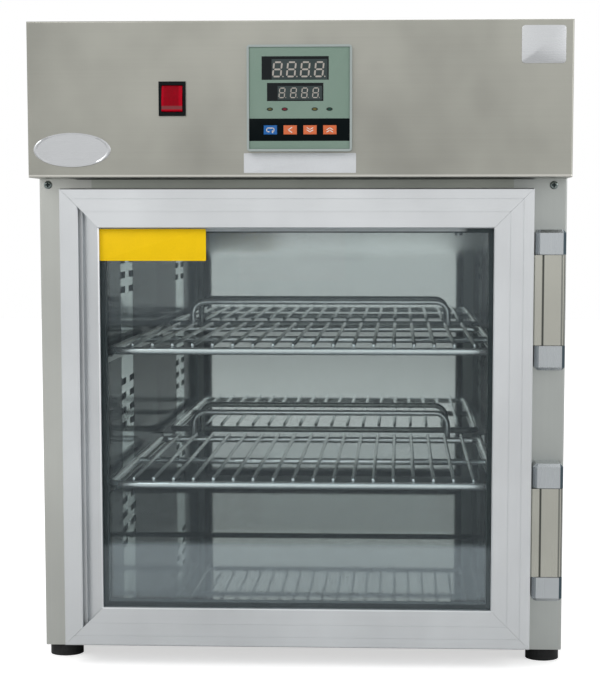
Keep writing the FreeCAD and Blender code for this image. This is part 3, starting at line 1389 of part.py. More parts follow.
def check_document():
    """Stop when a feature failed or a sub-part is empty or broken."""
    for item in DOCUMENT.Objects:
        if "Invalid" in item.State or "Error" in item.State:
            raise RuntimeError(f"{item.Label} did not compute")
    for item in NODES:
        if item.Shape.isNull() or not item.Shape.isValid() or item.Shape.Volume <= 0:
            raise RuntimeError(f"{item.Label} has no sound shape")


def write_parts():
    """Write one STEP file for each sub-part."""
    os.makedirs("parts", exist_ok=True)
    for item in NODES:
        item.Shape.exportStep(f"parts/{item.Label}.step")


build()
DOCUMENT.recompute()
check_document()
write_parts()
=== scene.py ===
"""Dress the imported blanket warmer: finishes, fine pieces, studio and camera.

Metres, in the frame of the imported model: +Z up, the door faces -Y.
"""
from __future__ import annotations

import logging
import math
from dataclasses import dataclass, field
from enum import Enum
from types import SimpleNamespace
from typing import Iterable, Sequence

import bmesh
import bpy
from mathutils import Matrix, Vector


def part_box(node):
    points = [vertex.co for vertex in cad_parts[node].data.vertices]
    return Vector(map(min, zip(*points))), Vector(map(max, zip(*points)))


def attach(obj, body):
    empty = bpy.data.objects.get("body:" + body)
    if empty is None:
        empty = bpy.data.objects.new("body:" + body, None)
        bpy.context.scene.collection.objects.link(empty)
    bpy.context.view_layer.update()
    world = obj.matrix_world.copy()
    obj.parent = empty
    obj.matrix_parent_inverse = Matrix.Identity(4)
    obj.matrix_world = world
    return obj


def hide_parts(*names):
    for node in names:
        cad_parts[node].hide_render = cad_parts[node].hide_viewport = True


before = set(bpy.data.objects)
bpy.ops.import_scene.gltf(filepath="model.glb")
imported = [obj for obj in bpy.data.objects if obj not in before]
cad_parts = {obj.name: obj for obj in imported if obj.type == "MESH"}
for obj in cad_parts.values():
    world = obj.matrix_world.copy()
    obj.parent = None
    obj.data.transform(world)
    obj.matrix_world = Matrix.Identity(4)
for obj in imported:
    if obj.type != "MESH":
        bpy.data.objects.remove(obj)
LOG = logging.getLogger("blanket_warmer")
MM = 0.001
WELD = 1e-6
AXIS_WELD = 2e-6
FRONT = Vector((0, -1, 0))
UP = Vector((0, 0, 1))
Colour = tuple[float, float, float]
Pair = tuple[float, float]
Spot = tuple[float, float, float, float]
Material = bpy.types.Material
Mesh = bmesh.types.BMesh


def srgb(code: int) -> Colour:
    """Give the linear colour of a screen colour such as 0xFFD200."""
    shares = [level / 255 for level in code.to_bytes(3, "big")]
    return tuple(share / 12.92 if share <= 0.04045 else ((share + 0.055) / 1.055) ** 2.4
                 for share in shares)


def scaled(colour: Colour, factor: float, lift: float = 0.0, most: float = 1.0) -> Colour:
    """Scale a colour, then lift it, up to a limit."""
    return tuple(min(level * factor + lift, most) for level in colour)


class Value:
    """A shader socket that takes part in Python expressions."""

    def __init__(self, shader: Shader, socket: bpy.types.NodeSocket) -> None:
        """Keep the socket and the shader it belongs to."""
        self.shader = shader
        self.socket = socket

    def math(self, operation: str, *others: Value | float, first: bool = True) -> Value:
        """Add a Math node whose first or last operand is this value."""
        operands = [self, *others] if first else [*others, self]
        return self.shader.node("Math", dict(enumerate(operands)), operation=operation)

    def __add__(self, other: Value | float) -> Value:
        """Add."""
        return self.math("ADD", other)

    __radd__ = __add__

    def __sub__(self, other: Value | float) -> Value:
        """Subtract."""
        return self.math("SUBTRACT", other)

    def __rsub__(self, other: float) -> Value:
        """Subtract this value from a number."""
        return self.math("SUBTRACT", other, first=False)

    def __mul__(self, other: Value | float) -> Value:
        """Multiply."""
        return self.math("MULTIPLY", other)

    __rmul__ = __mul__

    def over(self, limit: float, soft: float = 0.0001) -> Value:
        """Step from 0 to 1 where the value passes a limit."""
        return self.shader.node("MapRange", {
            "Value": self, "From Min": limit - soft, "From Max": limit + soft,
            "To Min": 0.0, "To Max": 1.0}, interpolation_type="SMOOTHSTEP")

    def between(self, low: float, high: float, soft: float = 0.0001) -> Value:
        """Give 1 between two limits and 0 outside."""
        return self.over(low, soft) * (1 - self.over(high, soft))

    def spread(self, low: float, high: float) -> Value:
        """Map 0 to 1 onto a range."""
        return self * (high - low) + low


class Shader:
    """The node tree of one material or world in the making."""

    def __init__(self, holder: Material | bpy.types.World) -> None:
        """Clear the holder's node tree."""
        holder.use_nodes = True
        self.holder = holder
        self.tree = holder.node_tree
        self.tree.nodes.clear()

    def node(self, kind: str, inputs: dict | None = None, output: int | str = 0,
             **settings: str) -> Value:
        """Add one node.

        Args:
            kind: The node's type without its prefix.
            inputs: Values or links, by socket name or number.
            output: Which output to give back.
            settings: Properties that are set first.

        Returns:
            The chosen output.
        """
        made = self.tree.nodes.new(f"ShaderNode{kind}")
        for name, value in settings.items():
            setattr(made, name, value)
        for key, value in (inputs or {}).items():
            socket = made.inputs[key]
            if isinstance(value, Value):
                self.tree.links.new(value.socket, socket)
            elif isinstance(value, tuple) and len(value) == 3 and socket.type == "RGBA":
                socket.default_value = (*value, 1)
            else:
                socket.default_value = value
        return Value(self, made.outputs[output])

    def axes(self) -> tuple[Value, Value, Value]:
        """Give the place on the object as three numbers in metres."""
        here = self.node("TexCoord", output="Object")
        split = self.node("SeparateXYZ", {0: here}).socket.node
        return tuple(Value(self, number) for number in split.outputs)

    def noise(self, scale: Colour | float, detail: float = 3.0) -> Value:
        """Give a cloud pattern from 0 to 1, of one grain or of one along each axis."""
        sizes = scale if isinstance(scale, tuple) else (scale,) * 3
        here = self.node("TexCoord", output="Object")
        place = self.node("Mapping", {"Vector": here, "Scale": sizes})
        return self.node("TexNoise", {
            "Vector": place, "Scale": 1.0, "Detail": detail, "Roughness": 0.55})

    def blend(self, factor: Value | float, low: Colour | Value, high: Colour | Value) -> Value:
        """Mix two colours."""
        return self.node("Mix", {0: factor, 6: low, 7: high}, 2, data_type="RGBA")

    def bump(self, height: Value, depth: float) -> Value:
        """Turn a height pattern into a normal."""
        return self.node("Bump", {"Height": height, "Distance": depth, "Strength": 1.0})

    def principled(self, tone: Colour | Value, rough: Value | float, **inputs: object) -> Value:
        """Add a Principled shader; underscores in the names stand for spaces."""
        named = {name.replace("_", " "): value for name, value in inputs.items()}
        return self.node("BsdfPrincipled", {"Base Color": tone, "Roughness": rough, **named})

    def close(self, surface: Value) -> Material | bpy.types.World:
        """Join the surface to the output and give the holder."""
        kind = "World" if isinstance(self.holder, bpy.types.World) else "Material"
        output = self.tree.nodes.new(f"ShaderNodeOutput{kind}")
        self.tree.links.new(surface.socket, output.inputs["Surface"])
        return self.holder


class Grain(Enum):
    """Way in which a metal's fine lines run."""

    ALONG_X = (6.0, 1400.0, 1400.0)
    ALONG_Y = (1400.0, 6.0, 1400.0)
    ALONG_Z = (1400.0, 1400.0, 6.0)
    LEVEL = (6.0, 6.0, 1400.0)


@dataclass(frozen=True)
class Band:
    """Stretch of a sheet with a tone of its own, such as a dark seam, a painted shadow, a painted
    highlight along a hem or a painted dark reflection.
    """

    left: float
    right: float
    low: float = 0.0
    high: float = 0.60
    tone: Colour = (0.02, 0.024, 0.022)
    soft: float = 0.0003


@dataclass(frozen=True)
class Finish:
    """Named finish with one main colour."""

    name: str
    colour: Colour

    def surface(self, shader: Shader) -> Value:
        """Lay out the finish's nodes and give the surface."""
        raise NotImplementedError

    def material(self) -> Material:
        """Make the material."""
        shader = Shader(bpy.data.materials.new(self.name))
        return shader.close(self.surface(shader))


@dataclass(frozen=True)
class BrushedMetal(Finish):
    """Sheet or profile with fine lines, cloudy handling marks and a soft sheen."""

    grain: Grain
    roughness: float = 0.34
    lines: float = 0.10
    clouds: float = 0.16
    bands: tuple[Band, ...] = ()

    def surface(self, shader: Shader) -> Value:
        """Brush, soil and cloud the metal, then lay its bands of seams and painted light and
        shade.
        """
        fine = shader.noise(self.grain.value, 4.0)
        coarse = shader.noise(tuple(size * 0.22 for size in self.grain.value), 2.0)
        cloud = shader.noise((9.0, 9.0, 7.0))
        smear = shader.noise((14.0, 14.0, 8.0), 2.0)
        dark = scaled(self.colour, 1 - self.clouds)
        light = scaled(self.colour, 1 + self.clouds, most=0.98)
        tone = shader.blend((cloud * 0.65 + smear * 0.35).over(0.5, 0.22), dark, light)
        tone = shader.blend((fine * 0.6 + coarse * 0.4) * self.lines, tone, (0.02, 0.02, 0.02))
        # Bands lay seams and painted shade, highlights and dark reflections over the tone.
        for band in self.bands:
            x, _, z = shader.axes()
            inside = x.between(band.left, band.right, band.soft)
            inside = inside * z.between(band.low, band.high, 0.0003)
            tone = shader.blend(inside * cloud.spread(0.80, 0.95), tone, band.tone)
        rough = (cloud * 0.5 + fine * 0.5).spread(self.roughness - 0.09, self.roughness + 0.09)
        return shader.principled(
            tone, rough, Metallic=1.0, Normal=shader.bump(fine + coarse * 0.5, 0.000012))


@dataclass(frozen=True)
class BrightMetal(Finish):
    """Plated or polished metal with faint draw marks and tarnish in spots."""

    roughness: float = 0.16
    speckle: float = 0.12
    metallic: float = 1.0

    def surface(self, shader: Shader) -> Value:
        """Speckle the metal."""
        spots = shader.noise(160.0, 4.0)
        cloud = shader.noise(22.0, 2.0)
        tarnish = (spots * 0.5 + cloud * 0.5).over(0.52, 0.2)
        return shader.principled(
            shader.blend(tarnish, self.colour, scaled(self.colour, 1 - self.speckle)),
            cloud.spread(self.roughness * 0.7, self.roughness * 1.5),
            Metallic=self.metallic, Normal=shader.bump(spots, 0.00002))


@dataclass(frozen=True)
class LinerSheet(Finish):
    """Mirror-bright folded sheet: wiped clouds, darker low down and brighter above that, painted
    light at the top and painted shade at its rear foot.
    """

    roughness: float = 0.03
    crease_shade_spot: Pair = (0.2315, 0.0462)
    foot: float = 0.046
    dull_below: float = 0.120
    bright_below: float = 0.300
    top: float = 0.388

    def surface(self, shader: Shader) -> Value:
        """Lay the zones over each other from the foot to the top, then the painted shade at the
        rear foot.
        """
        _, y, z = shader.axes()
        cloud = shader.noise((5.0, 5.0, 9.0))
        wiped = shader.noise((60.0, 60.0, 6.0))
        bright = scaled(self.colour, 1.36, most=0.9)
        wavy = z + cloud * 0.03 - 0.015
        upper = z.over(self.top, 0.012)
        tone = shader.blend(
            wavy.between(self.dull_below, self.bright_below, 0.03), self.colour, bright)
        tone = shader.blend(1 - wavy.over(self.dull_below, 0.015), tone, scaled(self.colour, 0.8))
        tone = shader.blend(1 - z.over(self.foot, 0.002), tone, self.colour)
        marks = (cloud * 0.7 + wiped * 0.3).over(0.5, 0.3) * 0.08
        tone = shader.blend(marks, tone, (0.1, 0.11, 0.11))
        # Painted light: the sheet is brighter above the top level, where the mirror shows shade.
        tone = shader.blend(upper, tone, bright)
        # Painted shade in the corner at the rear foot, where the back wall meets the floor.
        crease_shade = y.over(self.crease_shade_spot[0], 0.0004) * (1 - z.over(self.crease_shade_spot[1], 0.0004))
        rough = cloud.spread(self.roughness * 0.5, self.roughness * 1.6) + upper * 0.12
        return shader.principled(shader.blend(crease_shade, tone, (0.01, 0.014, 0.014)), rough,
                                 Metallic=1.0, Normal=shader.bump(wiped, 0.000003))


@dataclass(frozen=True)
class DuctSheet(Finish):
    """Dull rolled sheet with a painted reflection: a bright band over its punched middle between
    the slots, darker behind it.
    """

    bright: Colour
    low: float = -0.036
    high: float = 0.046

    def surface(self, shader: Shader) -> Value:
        """Paint the bright reflection band over the middle and darken the rear."""
        _, y, _ = shader.axes()
        cloud = shader.noise((14.0, 14.0, 3.0))
        fine = shader.noise(Grain.ALONG_Z.value)
        # Painted reflection: between low and high the sheet is brighter and more metallic,
        # standing in for the lit back wall seen in the side wall.
        painted_reflection_band = (y + cloud * 0.006).between(self.low, self.high, 0.003)
        plain = shader.blend(cloud.over(0.5, 0.2), scaled(self.colour, 0.82), self.colour)
        plain = shader.blend(y.over(self.high, 0.002), plain, scaled(self.colour, 0.5))
        tone = shader.blend(painted_reflection_band * cloud.spread(0.85, 1.1), plain, self.bright)
        return shader.principled(
            tone, (cloud * 0.6 + fine * 0.4).spread(0.04, 0.14), Specular_IOR_Level=0.0,
            Metallic=painted_reflection_band.spread(0.42, 1.0), Normal=shader.bump(fine, 0.000006))


@dataclass(frozen=True)
class MouldedPlastic(Finish):
    """Moulded plastic or rubber with a fine texture and a little dust."""

    roughness: float = 0.45
    texture: float = 900.0
    depth: float = 0.00003
    dust: float = 0.05
    coat: float = 0.0
    specular: float = 0.3

    def surface(self, shader: Shader) -> Value:
        """Dust the plastic."""
        pits = shader.noise(self.texture)
        cloud = shader.noise(30.0)
        dusty = scaled(self.colour, 1 - self.dust, 0.5 * self.dust)
        settled = (cloud * 0.7 + pits * 0.3).over(0.55, 0.2)
        rough = (cloud * 0.6 + pits * 0.4).spread(self.roughness - 0.08, self.roughness + 0.08)
        return shader.principled(
            shader.blend(settled, self.colour, dusty), rough, Coat_Weight=self.coat,
            Specular_IOR_Level=self.specular, Normal=shader.bump(pits, self.depth))


@dataclass(frozen=True)
class SpacerBar(Finish):
    """Perforated bar between the panes: dark with sealant, its top run lighter."""

    bright: Colour
    top: float = 0.4135

    def surface(self, shader: Shader) -> Value:
        """Smear the bar and lighten its top run."""
        x, _, z = shader.axes()
        cloud = shader.noise(40.0)
        smeared = shader.blend(cloud, scaled(self.colour, 0.6), self.colour)
        # Lighter along the top run, up to about x 0.16 m.
        wiped = z.over(self.top, 0.0004) * (1 - (x + cloud * 0.02).over(0.16, 0.004))
        return shader.principled(
            shader.blend(wiped, smeared, self.bright), cloud.spread(0.4, 0.6),
            Specular_IOR_Level=0.3, Normal=shader.bump(cloud, 0.00002))


@dataclass(frozen=True)
class RockerLens(Finish):
    """Clear red rocker: deep red in its middle, a painted glow at its sides and a painted
    highlight stripe at its foot.
    """

    sides: Pair = (-0.1230, -0.1090)
    painted_highlight_stripe: Pair = (0.5247, 0.5278)

    def surface(self, shader: Shader) -> Value:
        """Paint the glow at the sides and the highlight stripe."""
        x, _, z = shader.axes()
        cloud = shader.noise((260.0, 260.0, 120.0), 2.0)
        # Painted glow: the sides get a brighter red, as if lit through.
        glow = scaled(self.colour, 2.0, most=0.6)
        middle = (x + cloud * 0.001).between(*self.sides, 0.0012) * z.over(self.painted_highlight_stripe[0], 0.001)
        tone = shader.blend(middle, glow, shader.blend(cloud * 0.6, self.colour, glow))
        # Painted highlight: a pale stripe across the foot.
        tone = shader.blend(z.between(*self.painted_highlight_stripe, 0.0005), tone, scaled(self.colour, 0.8, 0.05))
        return shader.principled(
            tone, cloud.spread(0.14, 0.24), Specular_IOR_Level=0.06, Coat_Weight=0.03,
            Normal=shader.bump(cloud, 0.00001))


@dataclass(frozen=True)
class ClearPane(Finish):
    """Window glass: see-through, faintly tinted, with a veil of reflection, wiping marks and a
    painted reflection of the floor low down.
    """

    veil: float
    sheen: Colour
    painted_floor_reflection: float = 0.068
    haze_top: float = 0.117

    def surface(self, shader: Shader) -> Value:
        """Mix the clear tint with a mirror that is stronger at the edges and, as a painted
        reflection of the floor, low down.
        """
        _, _, height = shader.axes()
        wiped = shader.noise((7.0, 7.0, 18.0))
        # Painted reflection: a stronger mirror share below the top level stands in for the
        # floor's reflection.
        painted_floor_reflection = (1 - height.over(self.haze_top, 0.003)) * self.painted_floor_reflection
        edge = shader.node("Fresnel", {"IOR": 1.45})
        clear = shader.node("BsdfTransparent", {"Color": self.colour})
        mirror = shader.principled(self.sheen, 0.02, Metallic=1.0)
        share = edge * 0.35 + wiped.spread(self.veil * 0.5, self.veil * 1.5) + painted_floor_reflection
        return shader.node("MixShader", {0: share, 1: clear, 2: mirror})


@dataclass(frozen=True)
class PrintedFilm(Finish):
    """Blank adhesive label: even colour, paper tooth, slightly worn in patches."""

    roughness: float = 0.5
    alpha: float = 1.0

    def surface(self, shader: Shader) -> Value:
        """Wear the film."""
        tooth = shader.noise(700.0)
        cloud = shader.noise(40.0)
        worn = (cloud * 0.6 + tooth * 0.4).over(0.5, 0.25)
        return shader.principled(
            shader.blend(worn, scaled(self.colour, 0.92), self.colour),
            cloud.spread(self.roughness - 0.08, self.roughness + 0.08),
            Specular_IOR_Level=0.2, Normal=shader.bump(tooth, 0.00001), Alpha=self.alpha)


class Wool(Finish):
    """Glass wool slab: matted fibres in two yellows."""

    def surface(self, shader: Shader) -> Value:
        """Mat the fibres."""
        fibres = shader.noise((300.0, 900.0, 300.0), 5.0)
        tufts = shader.noise(60.0, 4.0)
        tone = shader.blend(fibres * 0.6 + tufts * 0.4, scaled(self.colour, 0.6), self.colour)
        return shader.principled(tone, 0.95, Normal=shader.bump(fibres + tufts, 0.0008))


def grow_box(bm: Mesh, low: Sequence[float], high: Sequence[float]) -> list:
    """Add a box between two corners and give its vertices."""
    low, high = Vector(low), Vector(high)
    size = high - low
    place = Matrix.Translation((low + high) / 2) @ Matrix.Diagonal((*size, 1))
    return bmesh.ops.create_cube(bm, size=1.0, matrix=place)["verts"]


def edges_of(verts: Iterable[bmesh.types.BMVert]) -> list:
    """Give the edges between the given vertices."""
    chosen = set(verts)
    found = {edge for vert in chosen for edge in vert.link_edges}
    return [edge for edge in found if edge.verts[0] in chosen and edge.verts[1] in chosen]


def soften(bm: Mesh, edges: Sequence[bmesh.types.BMEdge], size: float, segments: int = 2) -> None:
    """Round edges by a bevel."""
    bmesh.ops.bevel(bm, geom=list(edges), offset=size, offset_type="OFFSET", affect="EDGES",
                    segments=segments, profile=0.5, material=-1, clamp_overlap=True)


def along(edge: bmesh.types.BMEdge, axis: int) -> bool:
    """Tell whether an edge runs along an axis."""
    way = edge.verts[1].co - edge.verts[0].co
    return abs(way[axis]) > 0.99 * way.length


def add_plate(bm: Mesh, low: Sequence[float], high: Sequence[float], axis: int,
              corner: float, rim: float) -> None:
    """Add a plate whose outline is rounded about one axis and whose rims are broken.

    Args:
        bm: The mesh in the making.
        low: Lowest corner.
        high: Highest corner.
        axis: Axis that the plate's thickness runs along.
        corner: Radius of the outline's corners.
        rim: Bevel of the remaining edges.
    """
    part = bmesh.new()
    verts = grow_box(part, low, high)
    soften(part, [edge for edge in edges_of(verts) if along(edge, axis)], corner, 4)
    flat = [edge for edge in part.edges if edge.calc_face_angle(0) > 1.0]
    soften(part, flat, rim, 2)
    merge(bm, part)


def merge(bm: Mesh, part: Mesh, place: Matrix = Matrix()) -> None:
    """Move a finished part to its place in the main mesh."""
    bmesh.ops.transform(part, matrix=place, verts=part.verts)
    holder = bpy.data.meshes.new("holder")
    part.to_mesh(holder)
    part.free()
    bm.from_mesh(holder)
    bpy.data.meshes.remove(holder)


def lathe(bm: Mesh, profile: Sequence[Pair], centre: Vector,
          axis: Vector, steps: int = 32) -> None:
    """Turn an open profile from axis to axis into a closed body.

    Args:
        bm: The mesh in the making.
        profile: Radius and height pairs that start and end on the axis.
        centre: Where height zero lies.
        axis: Direction of height.
        steps: Divisions of the turn.
    """
    turn = UP.rotation_difference(axis).to_matrix().to_4x4()
    place = Matrix.Translation(centre) @ turn
    part = bmesh.new()
    verts = [part.verts.new(place @ Vector((radius, 0, height))) for radius, height in profile]
    edges = [part.edges.new(pair) for pair in zip(verts, verts[1:])]
    bmesh.ops.spin(part, geom=verts + edges, cent=centre, axis=axis, angle=math.tau,
                   steps=steps, use_merge=True, use_duplicate=False)
    bmesh.ops.remove_doubles(part, verts=part.verts, dist=AXIS_WELD)
    merge(bm, part)


@dataclass
class Rod:
    """Round rod that is laid out by straight runs and bends."""

    bm: Mesh
    here: Vector
    way: Vector
    radius: float
    sides: int = 16
    ring: list = field(default_factory=list)

    def __post_init__(self) -> None:
        """Draw the first section."""
        turn = UP.rotation_difference(self.way).to_matrix().to_4x4()
        made = bmesh.ops.create_circle(
            self.bm, cap_ends=False, segments=self.sides, radius=self.radius,
            matrix=Matrix.Translation(self.here) @ turn)
        self.ring = edges_of(made["verts"])

    def push(self) -> list:
        """Extrude the section without moving it and give its new vertices."""
        made = bmesh.ops.extrude_edge_only(self.bm, edges=self.ring)["geom"]
        fresh = [item for item in made if isinstance(item, bmesh.types.BMVert)]
        self.ring = [item for item in made if isinstance(item, bmesh.types.BMEdge)
                     and item.verts[0] in fresh and item.verts[1] in fresh]
        return fresh

    def run(self, length: float) -> Rod:
        """Go straight on."""
        bmesh.ops.translate(self.bm, verts=self.push(), vec=self.way * length)
        self.here = self.here + self.way * length
        return self

    def bend(self, axis: Vector, radius: float, steps: int = 6) -> Rod:
        """Turn by a right angle about an axis at right angles to the way."""
        centre = self.here + axis.cross(self.way).normalized() * radius
        made = bmesh.ops.spin(
            self.bm, geom=self.ring, cent=centre, axis=axis, angle=math.radians(90),
            steps=steps, use_merge=False, use_duplicate=False)["geom_last"]
        self.ring = [item for item in made if isinstance(item, bmesh.types.BMEdge)]
        turn = Matrix.Rotation(math.radians(90), 3, axis)
        self.here = centre + turn @ (self.here - centre)
        self.way = turn @ self.way
        return self

    def round_end(self) -> Rod:
        """Close the end that was reached with a shallow dome."""
        for share, height in ((0.8, 0.35), (0.35, 0.6)):
            fresh = self.push()
            middle = sum((vert.co for vert in fresh), Vector()) / len(fresh)
            target = self.here + self.way * self.radius * height
            for vert in fresh:
                vert.co = target + (vert.co - middle).normalized() * self.radius * share
        bmesh.ops.edgeloop_fill(self.bm, edges=self.ring)
        return self


def add_object(name: str, data: bpy.types.ID) -> bpy.types.Object:
    """Put a new object into the scene."""
    made = bpy.data.objects.new(name, data)
    bpy.context.scene.collection.objects.link(made)
    return made


def solidify(name: str, bm: Mesh, material: Material) -> bpy.types.Object:
    """Turn a mesh in the making into an object of one material."""
    mesh = bpy.data.meshes.new(name)
    bm.to_mesh(mesh)
    bm.free()
    mesh.materials.append(material)
    return add_object(name, mesh)


def make_piece(name: str, bm: Mesh, material: Material, body: str,
               replaces: Sequence[str] = (), smooth: float = 40.0) -> bpy.types.Object:
    """Turn a mesh in the making into a piece that rides on a body.

    Args:
        name: The piece's name.
        bm: The mesh in the making.
        material: Its finish.
        body: The body that it moves with.
        replaces: CAD nodes that it stands for.
        smooth: Edges flatter than this many degrees are shaded round.

    Returns:
        The piece.
    """
    bmesh.ops.recalc_face_normals(bm, faces=bm.faces)
    piece = solidify(name, bm, material)
    piece.data.shade_smooth()
    piece.data.set_sharp_from_angle(angle=math.radians(smooth))
    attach(piece, body)
    if replaces:
        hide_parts(*replaces)
    LOG.info("made %s on %s", name, body)
    return piece


def dress(finishes: Palette, **coats: str) -> None:
    """Give CAD nodes, listed by finish, their materials."""
    for finish, nodes in coats.items():
        material = getattr(finishes, finish)
        for node in nodes.split():
            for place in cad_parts[node].material_slots:
                place.material = material
            LOG.info("dressed %s with %s", node, material.name)


def corners(node: str) -> tuple[Vector, Vector]:
    """Give a CAD node's lowest and highest corner."""
    low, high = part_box(node)
    return Vector(low), Vector(high)


def flat(spot: Spot, face: float, thick: float) -> tuple[Vector, Vector]:
    """Give the corners, in metres, of a flat thing on a face; all it takes is in millimetres."""
    left, bottom, right, top = spot
    return Vector((left, face - thick, bottom)) * MM, Vector((right, face, top)) * MM


def stick(name: str, spot: Spot, face: float, thick: float, edges: Pair,
          material: Material, body: str = "cabinet") -> bpy.types.Object:
    """Stick a film or plate on a face.

    Args:
        name: The piece's name.
        spot: Left, bottom, right and top in millimetres.
        face: The y of the face in millimetres.
        thick: Thickness in millimetres.
        edges: Radius of its corners and bevel of its rims in millimetres.
        material: Its finish.
        body: The body that it moves with.

    Returns:
        The piece.
    """
    bm = bmesh.new()
    add_plate(bm, *flat(spot, face, thick), 1, *(size * MM for size in edges))
    return make_piece(name, bm, material, body)


LEVEL, UPRIGHT, ACROSS = Grain.LEVEL, Grain.ALONG_Z, Grain.ALONG_X
CASING, BAR = srgb(0xA3A39B), srgb(0xD6D9DB)
SHADOW = {"low": 0.4622, "high": 0.50, "soft": 0.003}
FINISHES = dict(
    casing=BrushedMetal("casing_stainless", CASING, LEVEL),
    # Header: painted shade on the fascia's foot below 0.4631 m, and a painted highlight just
    # above it along the hem.
    header=BrushedMetal("casing_header", CASING, LEVEL, bands=(
        Band(-0.215, 0.219, 0.40, 0.4631, soft=0.003),
        Band(-0.30, 0.30, 0.4632, 0.4653, (0.66, 0.65, 0.60)))),
    casing_top=BrushedMetal("casing_stainless_top", CASING, ACROSS, clouds=0.06),
    galvanised=BrushedMetal("galvanised_sheet", srgb(0x9EA2A6), LEVEL, 0.42, 0.04, 0.12),
    liner=LinerSheet("liner_stainless", srgb(0xB6B8B5)),
    # The left and right posts are one steel in lit and shaded copies: the left one's lighter tone
    # is painted light.
    post_left=BrushedMetal("casing_left", srgb(0xBEC0BB), UPRIGHT, 0.36, 0.06,
                           0.07, (Band(-0.215, -0.10, **SHADOW),)),
    post_right=BrushedMetal("casing_right", srgb(0xB0B4B1), UPRIGHT, 0.36, 0.06,
                            0.07, (Band(0.10, 0.219, **SHADOW),)),
    strip=BrushedMetal("casing_strip", srgb(0xA8ACA4), ACROSS, 0.38, 0.08,
                       bands=(Band(-0.3, 0.3, **SHADOW),)),
    wool=Wool("mineral_wool", srgb(0xCEBA78)),
    fan=BrushedMetal("fan_sheet", srgb(0xA5A8AA), UPRIGHT, 0.36, 0.05),
    element=BrightMetal("element_sheath", srgb(0x544E4A), 0.42, 0.35),
    motor=MouldedPlastic("motor_paint", srgb(0x34383C), 0.5, 500.0),
    black=MouldedPlastic("black_moulding", srgb(0x060D0F), 0.36, dust=0.0, specular=0.12),
    band=MouldedPlastic("black_key_panel", srgb(0x040C0E), 0.4, 1400.0, dust=0.0, specular=0.06),
    sage=MouldedPlastic("sage_face", srgb(0x7C9386), 0.5, 1600.0, 0.00001),
    rim=MouldedPlastic("bezel_rim", srgb(0xA4AEAC), 0.42, 1200.0),
    lens=MouldedPlastic("smoked_lens", srgb(0x081013), 0.14, 60.0, 0.000002, 0.0, 0.1, 0.15),
    pit=MouldedPlastic("digit_field", srgb(0x3C4646), 0.4, 900.0, 0.00001, 0.02, specular=0.1),
    digit=MouldedPlastic("unlit_digits", srgb(0xB0AAA2), 0.5, 1200.0),
    blue=MouldedPlastic("blue_key", srgb(0x0A60A8), 0.4, 1200.0),
    orange=MouldedPlastic("orange_key", srgb(0xD66C3E), 0.4, 1200.0),
    mark=MouldedPlastic("key_mark", srgb(0xE8E2DC), 0.5, 1200.0),
    lamp_rim=MouldedPlastic("lamp_rim", srgb(0x262C28), 0.4, dust=0.0, specular=0.15),
    rocker=RockerLens("red_rocker", srgb(0x800012)),
    bar=BrushedMetal("door_aluminium_level", BAR, ACROSS, 0.36, 0.05, 0.07),
    post=BrushedMetal("door_aluminium_upright", BAR, UPRIGHT, 0.36, 0.05, 0.07),
    zinc=BrightMetal("zinc_casting", srgb(0xA8AAAC), 0.35),
    glass=ClearPane("door_glass", (0.960, 0.972, 0.973), 0.006, (0.80, 0.93, 1.0)),
    duct=DuctSheet("duct_stainless", srgb(0x424D4E), srgb(0xCED8D7)),
    spacer=SpacerBar("spacer_bar", srgb(0x323E40), srgb(0xCED2D4)),
    bead=MouldedPlastic("glazing_bead", srgb(0x303436), 0.6, dust=0.02),
    rubber=MouldedPlastic("seal_rubber", srgb(0x1E2022), 0.7, 600.0),
    # The dark teal band along the cap's right edge is a painted reflection of the dark room on a
    # side that turns away.
    cap=BrushedMetal("hinge_cap", srgb(0xB8BDC0), UPRIGHT, 0.28, 0.02, 0.05,
                     (Band(0.2445, 0.2473, tone=srgb(0x103440)),)),
    barrel=BrushedMetal("hinge_cover", srgb(0xB8B8AF), UPRIGHT, 0.26, 0.05, 0.08, (
        Band(0.2253, 0.2271), Band(0.2429, 0.2446, tone=(0.16, 0.165, 0.15)),
        Band(0.2457, 0.2467))),
    pin=BrightMetal("pin_steel", srgb(0x969696), 0.2),
    wire=BrightMetal("shelf_wire", srgb(0xF0F4F4), 0.2, 0.05, 0.8),
    runner=BrushedMetal("runner_steel", srgb(0xA8ACAC), Grain.ALONG_Y, 0.3, 0.05),
    probe=BrightMetal("probe_steel", srgb(0xAAACAE), 0.25),
    feet=MouldedPlastic("foot_rubber", srgb(0x161718), 0.65, 500.0, 0.00006),
    screw=BrightMetal("screw_head", srgb(0x848E8C), 0.2),
    # Dark finish for the cut cross: painted shade in the recess.
    recess=MouldedPlastic("screw_recess_shade", srgb(0x162C2E), 0.5, dust=0.0),
    paper=PrintedFilm("blank_label", srgb(0xDADDE0)),
    yellow=PrintedFilm("blank_sticker", srgb(0xFFD200), 0.45),
    film=PrintedFilm("clear_film", srgb(0xD2D8D8), 0.3, 0.05),
    plate=BrushedMetal("badge_plate", srgb(0xC4C6C8), ACROSS, 0.26, 0.04, 0.06))


class Palette(SimpleNamespace):
    """Every finish of the warmer, made once."""

    def __init__(self) -> None:
        """Make the materials."""
        super().__init__(**{key: finish.material() for key, finish in FINISHES.items()})


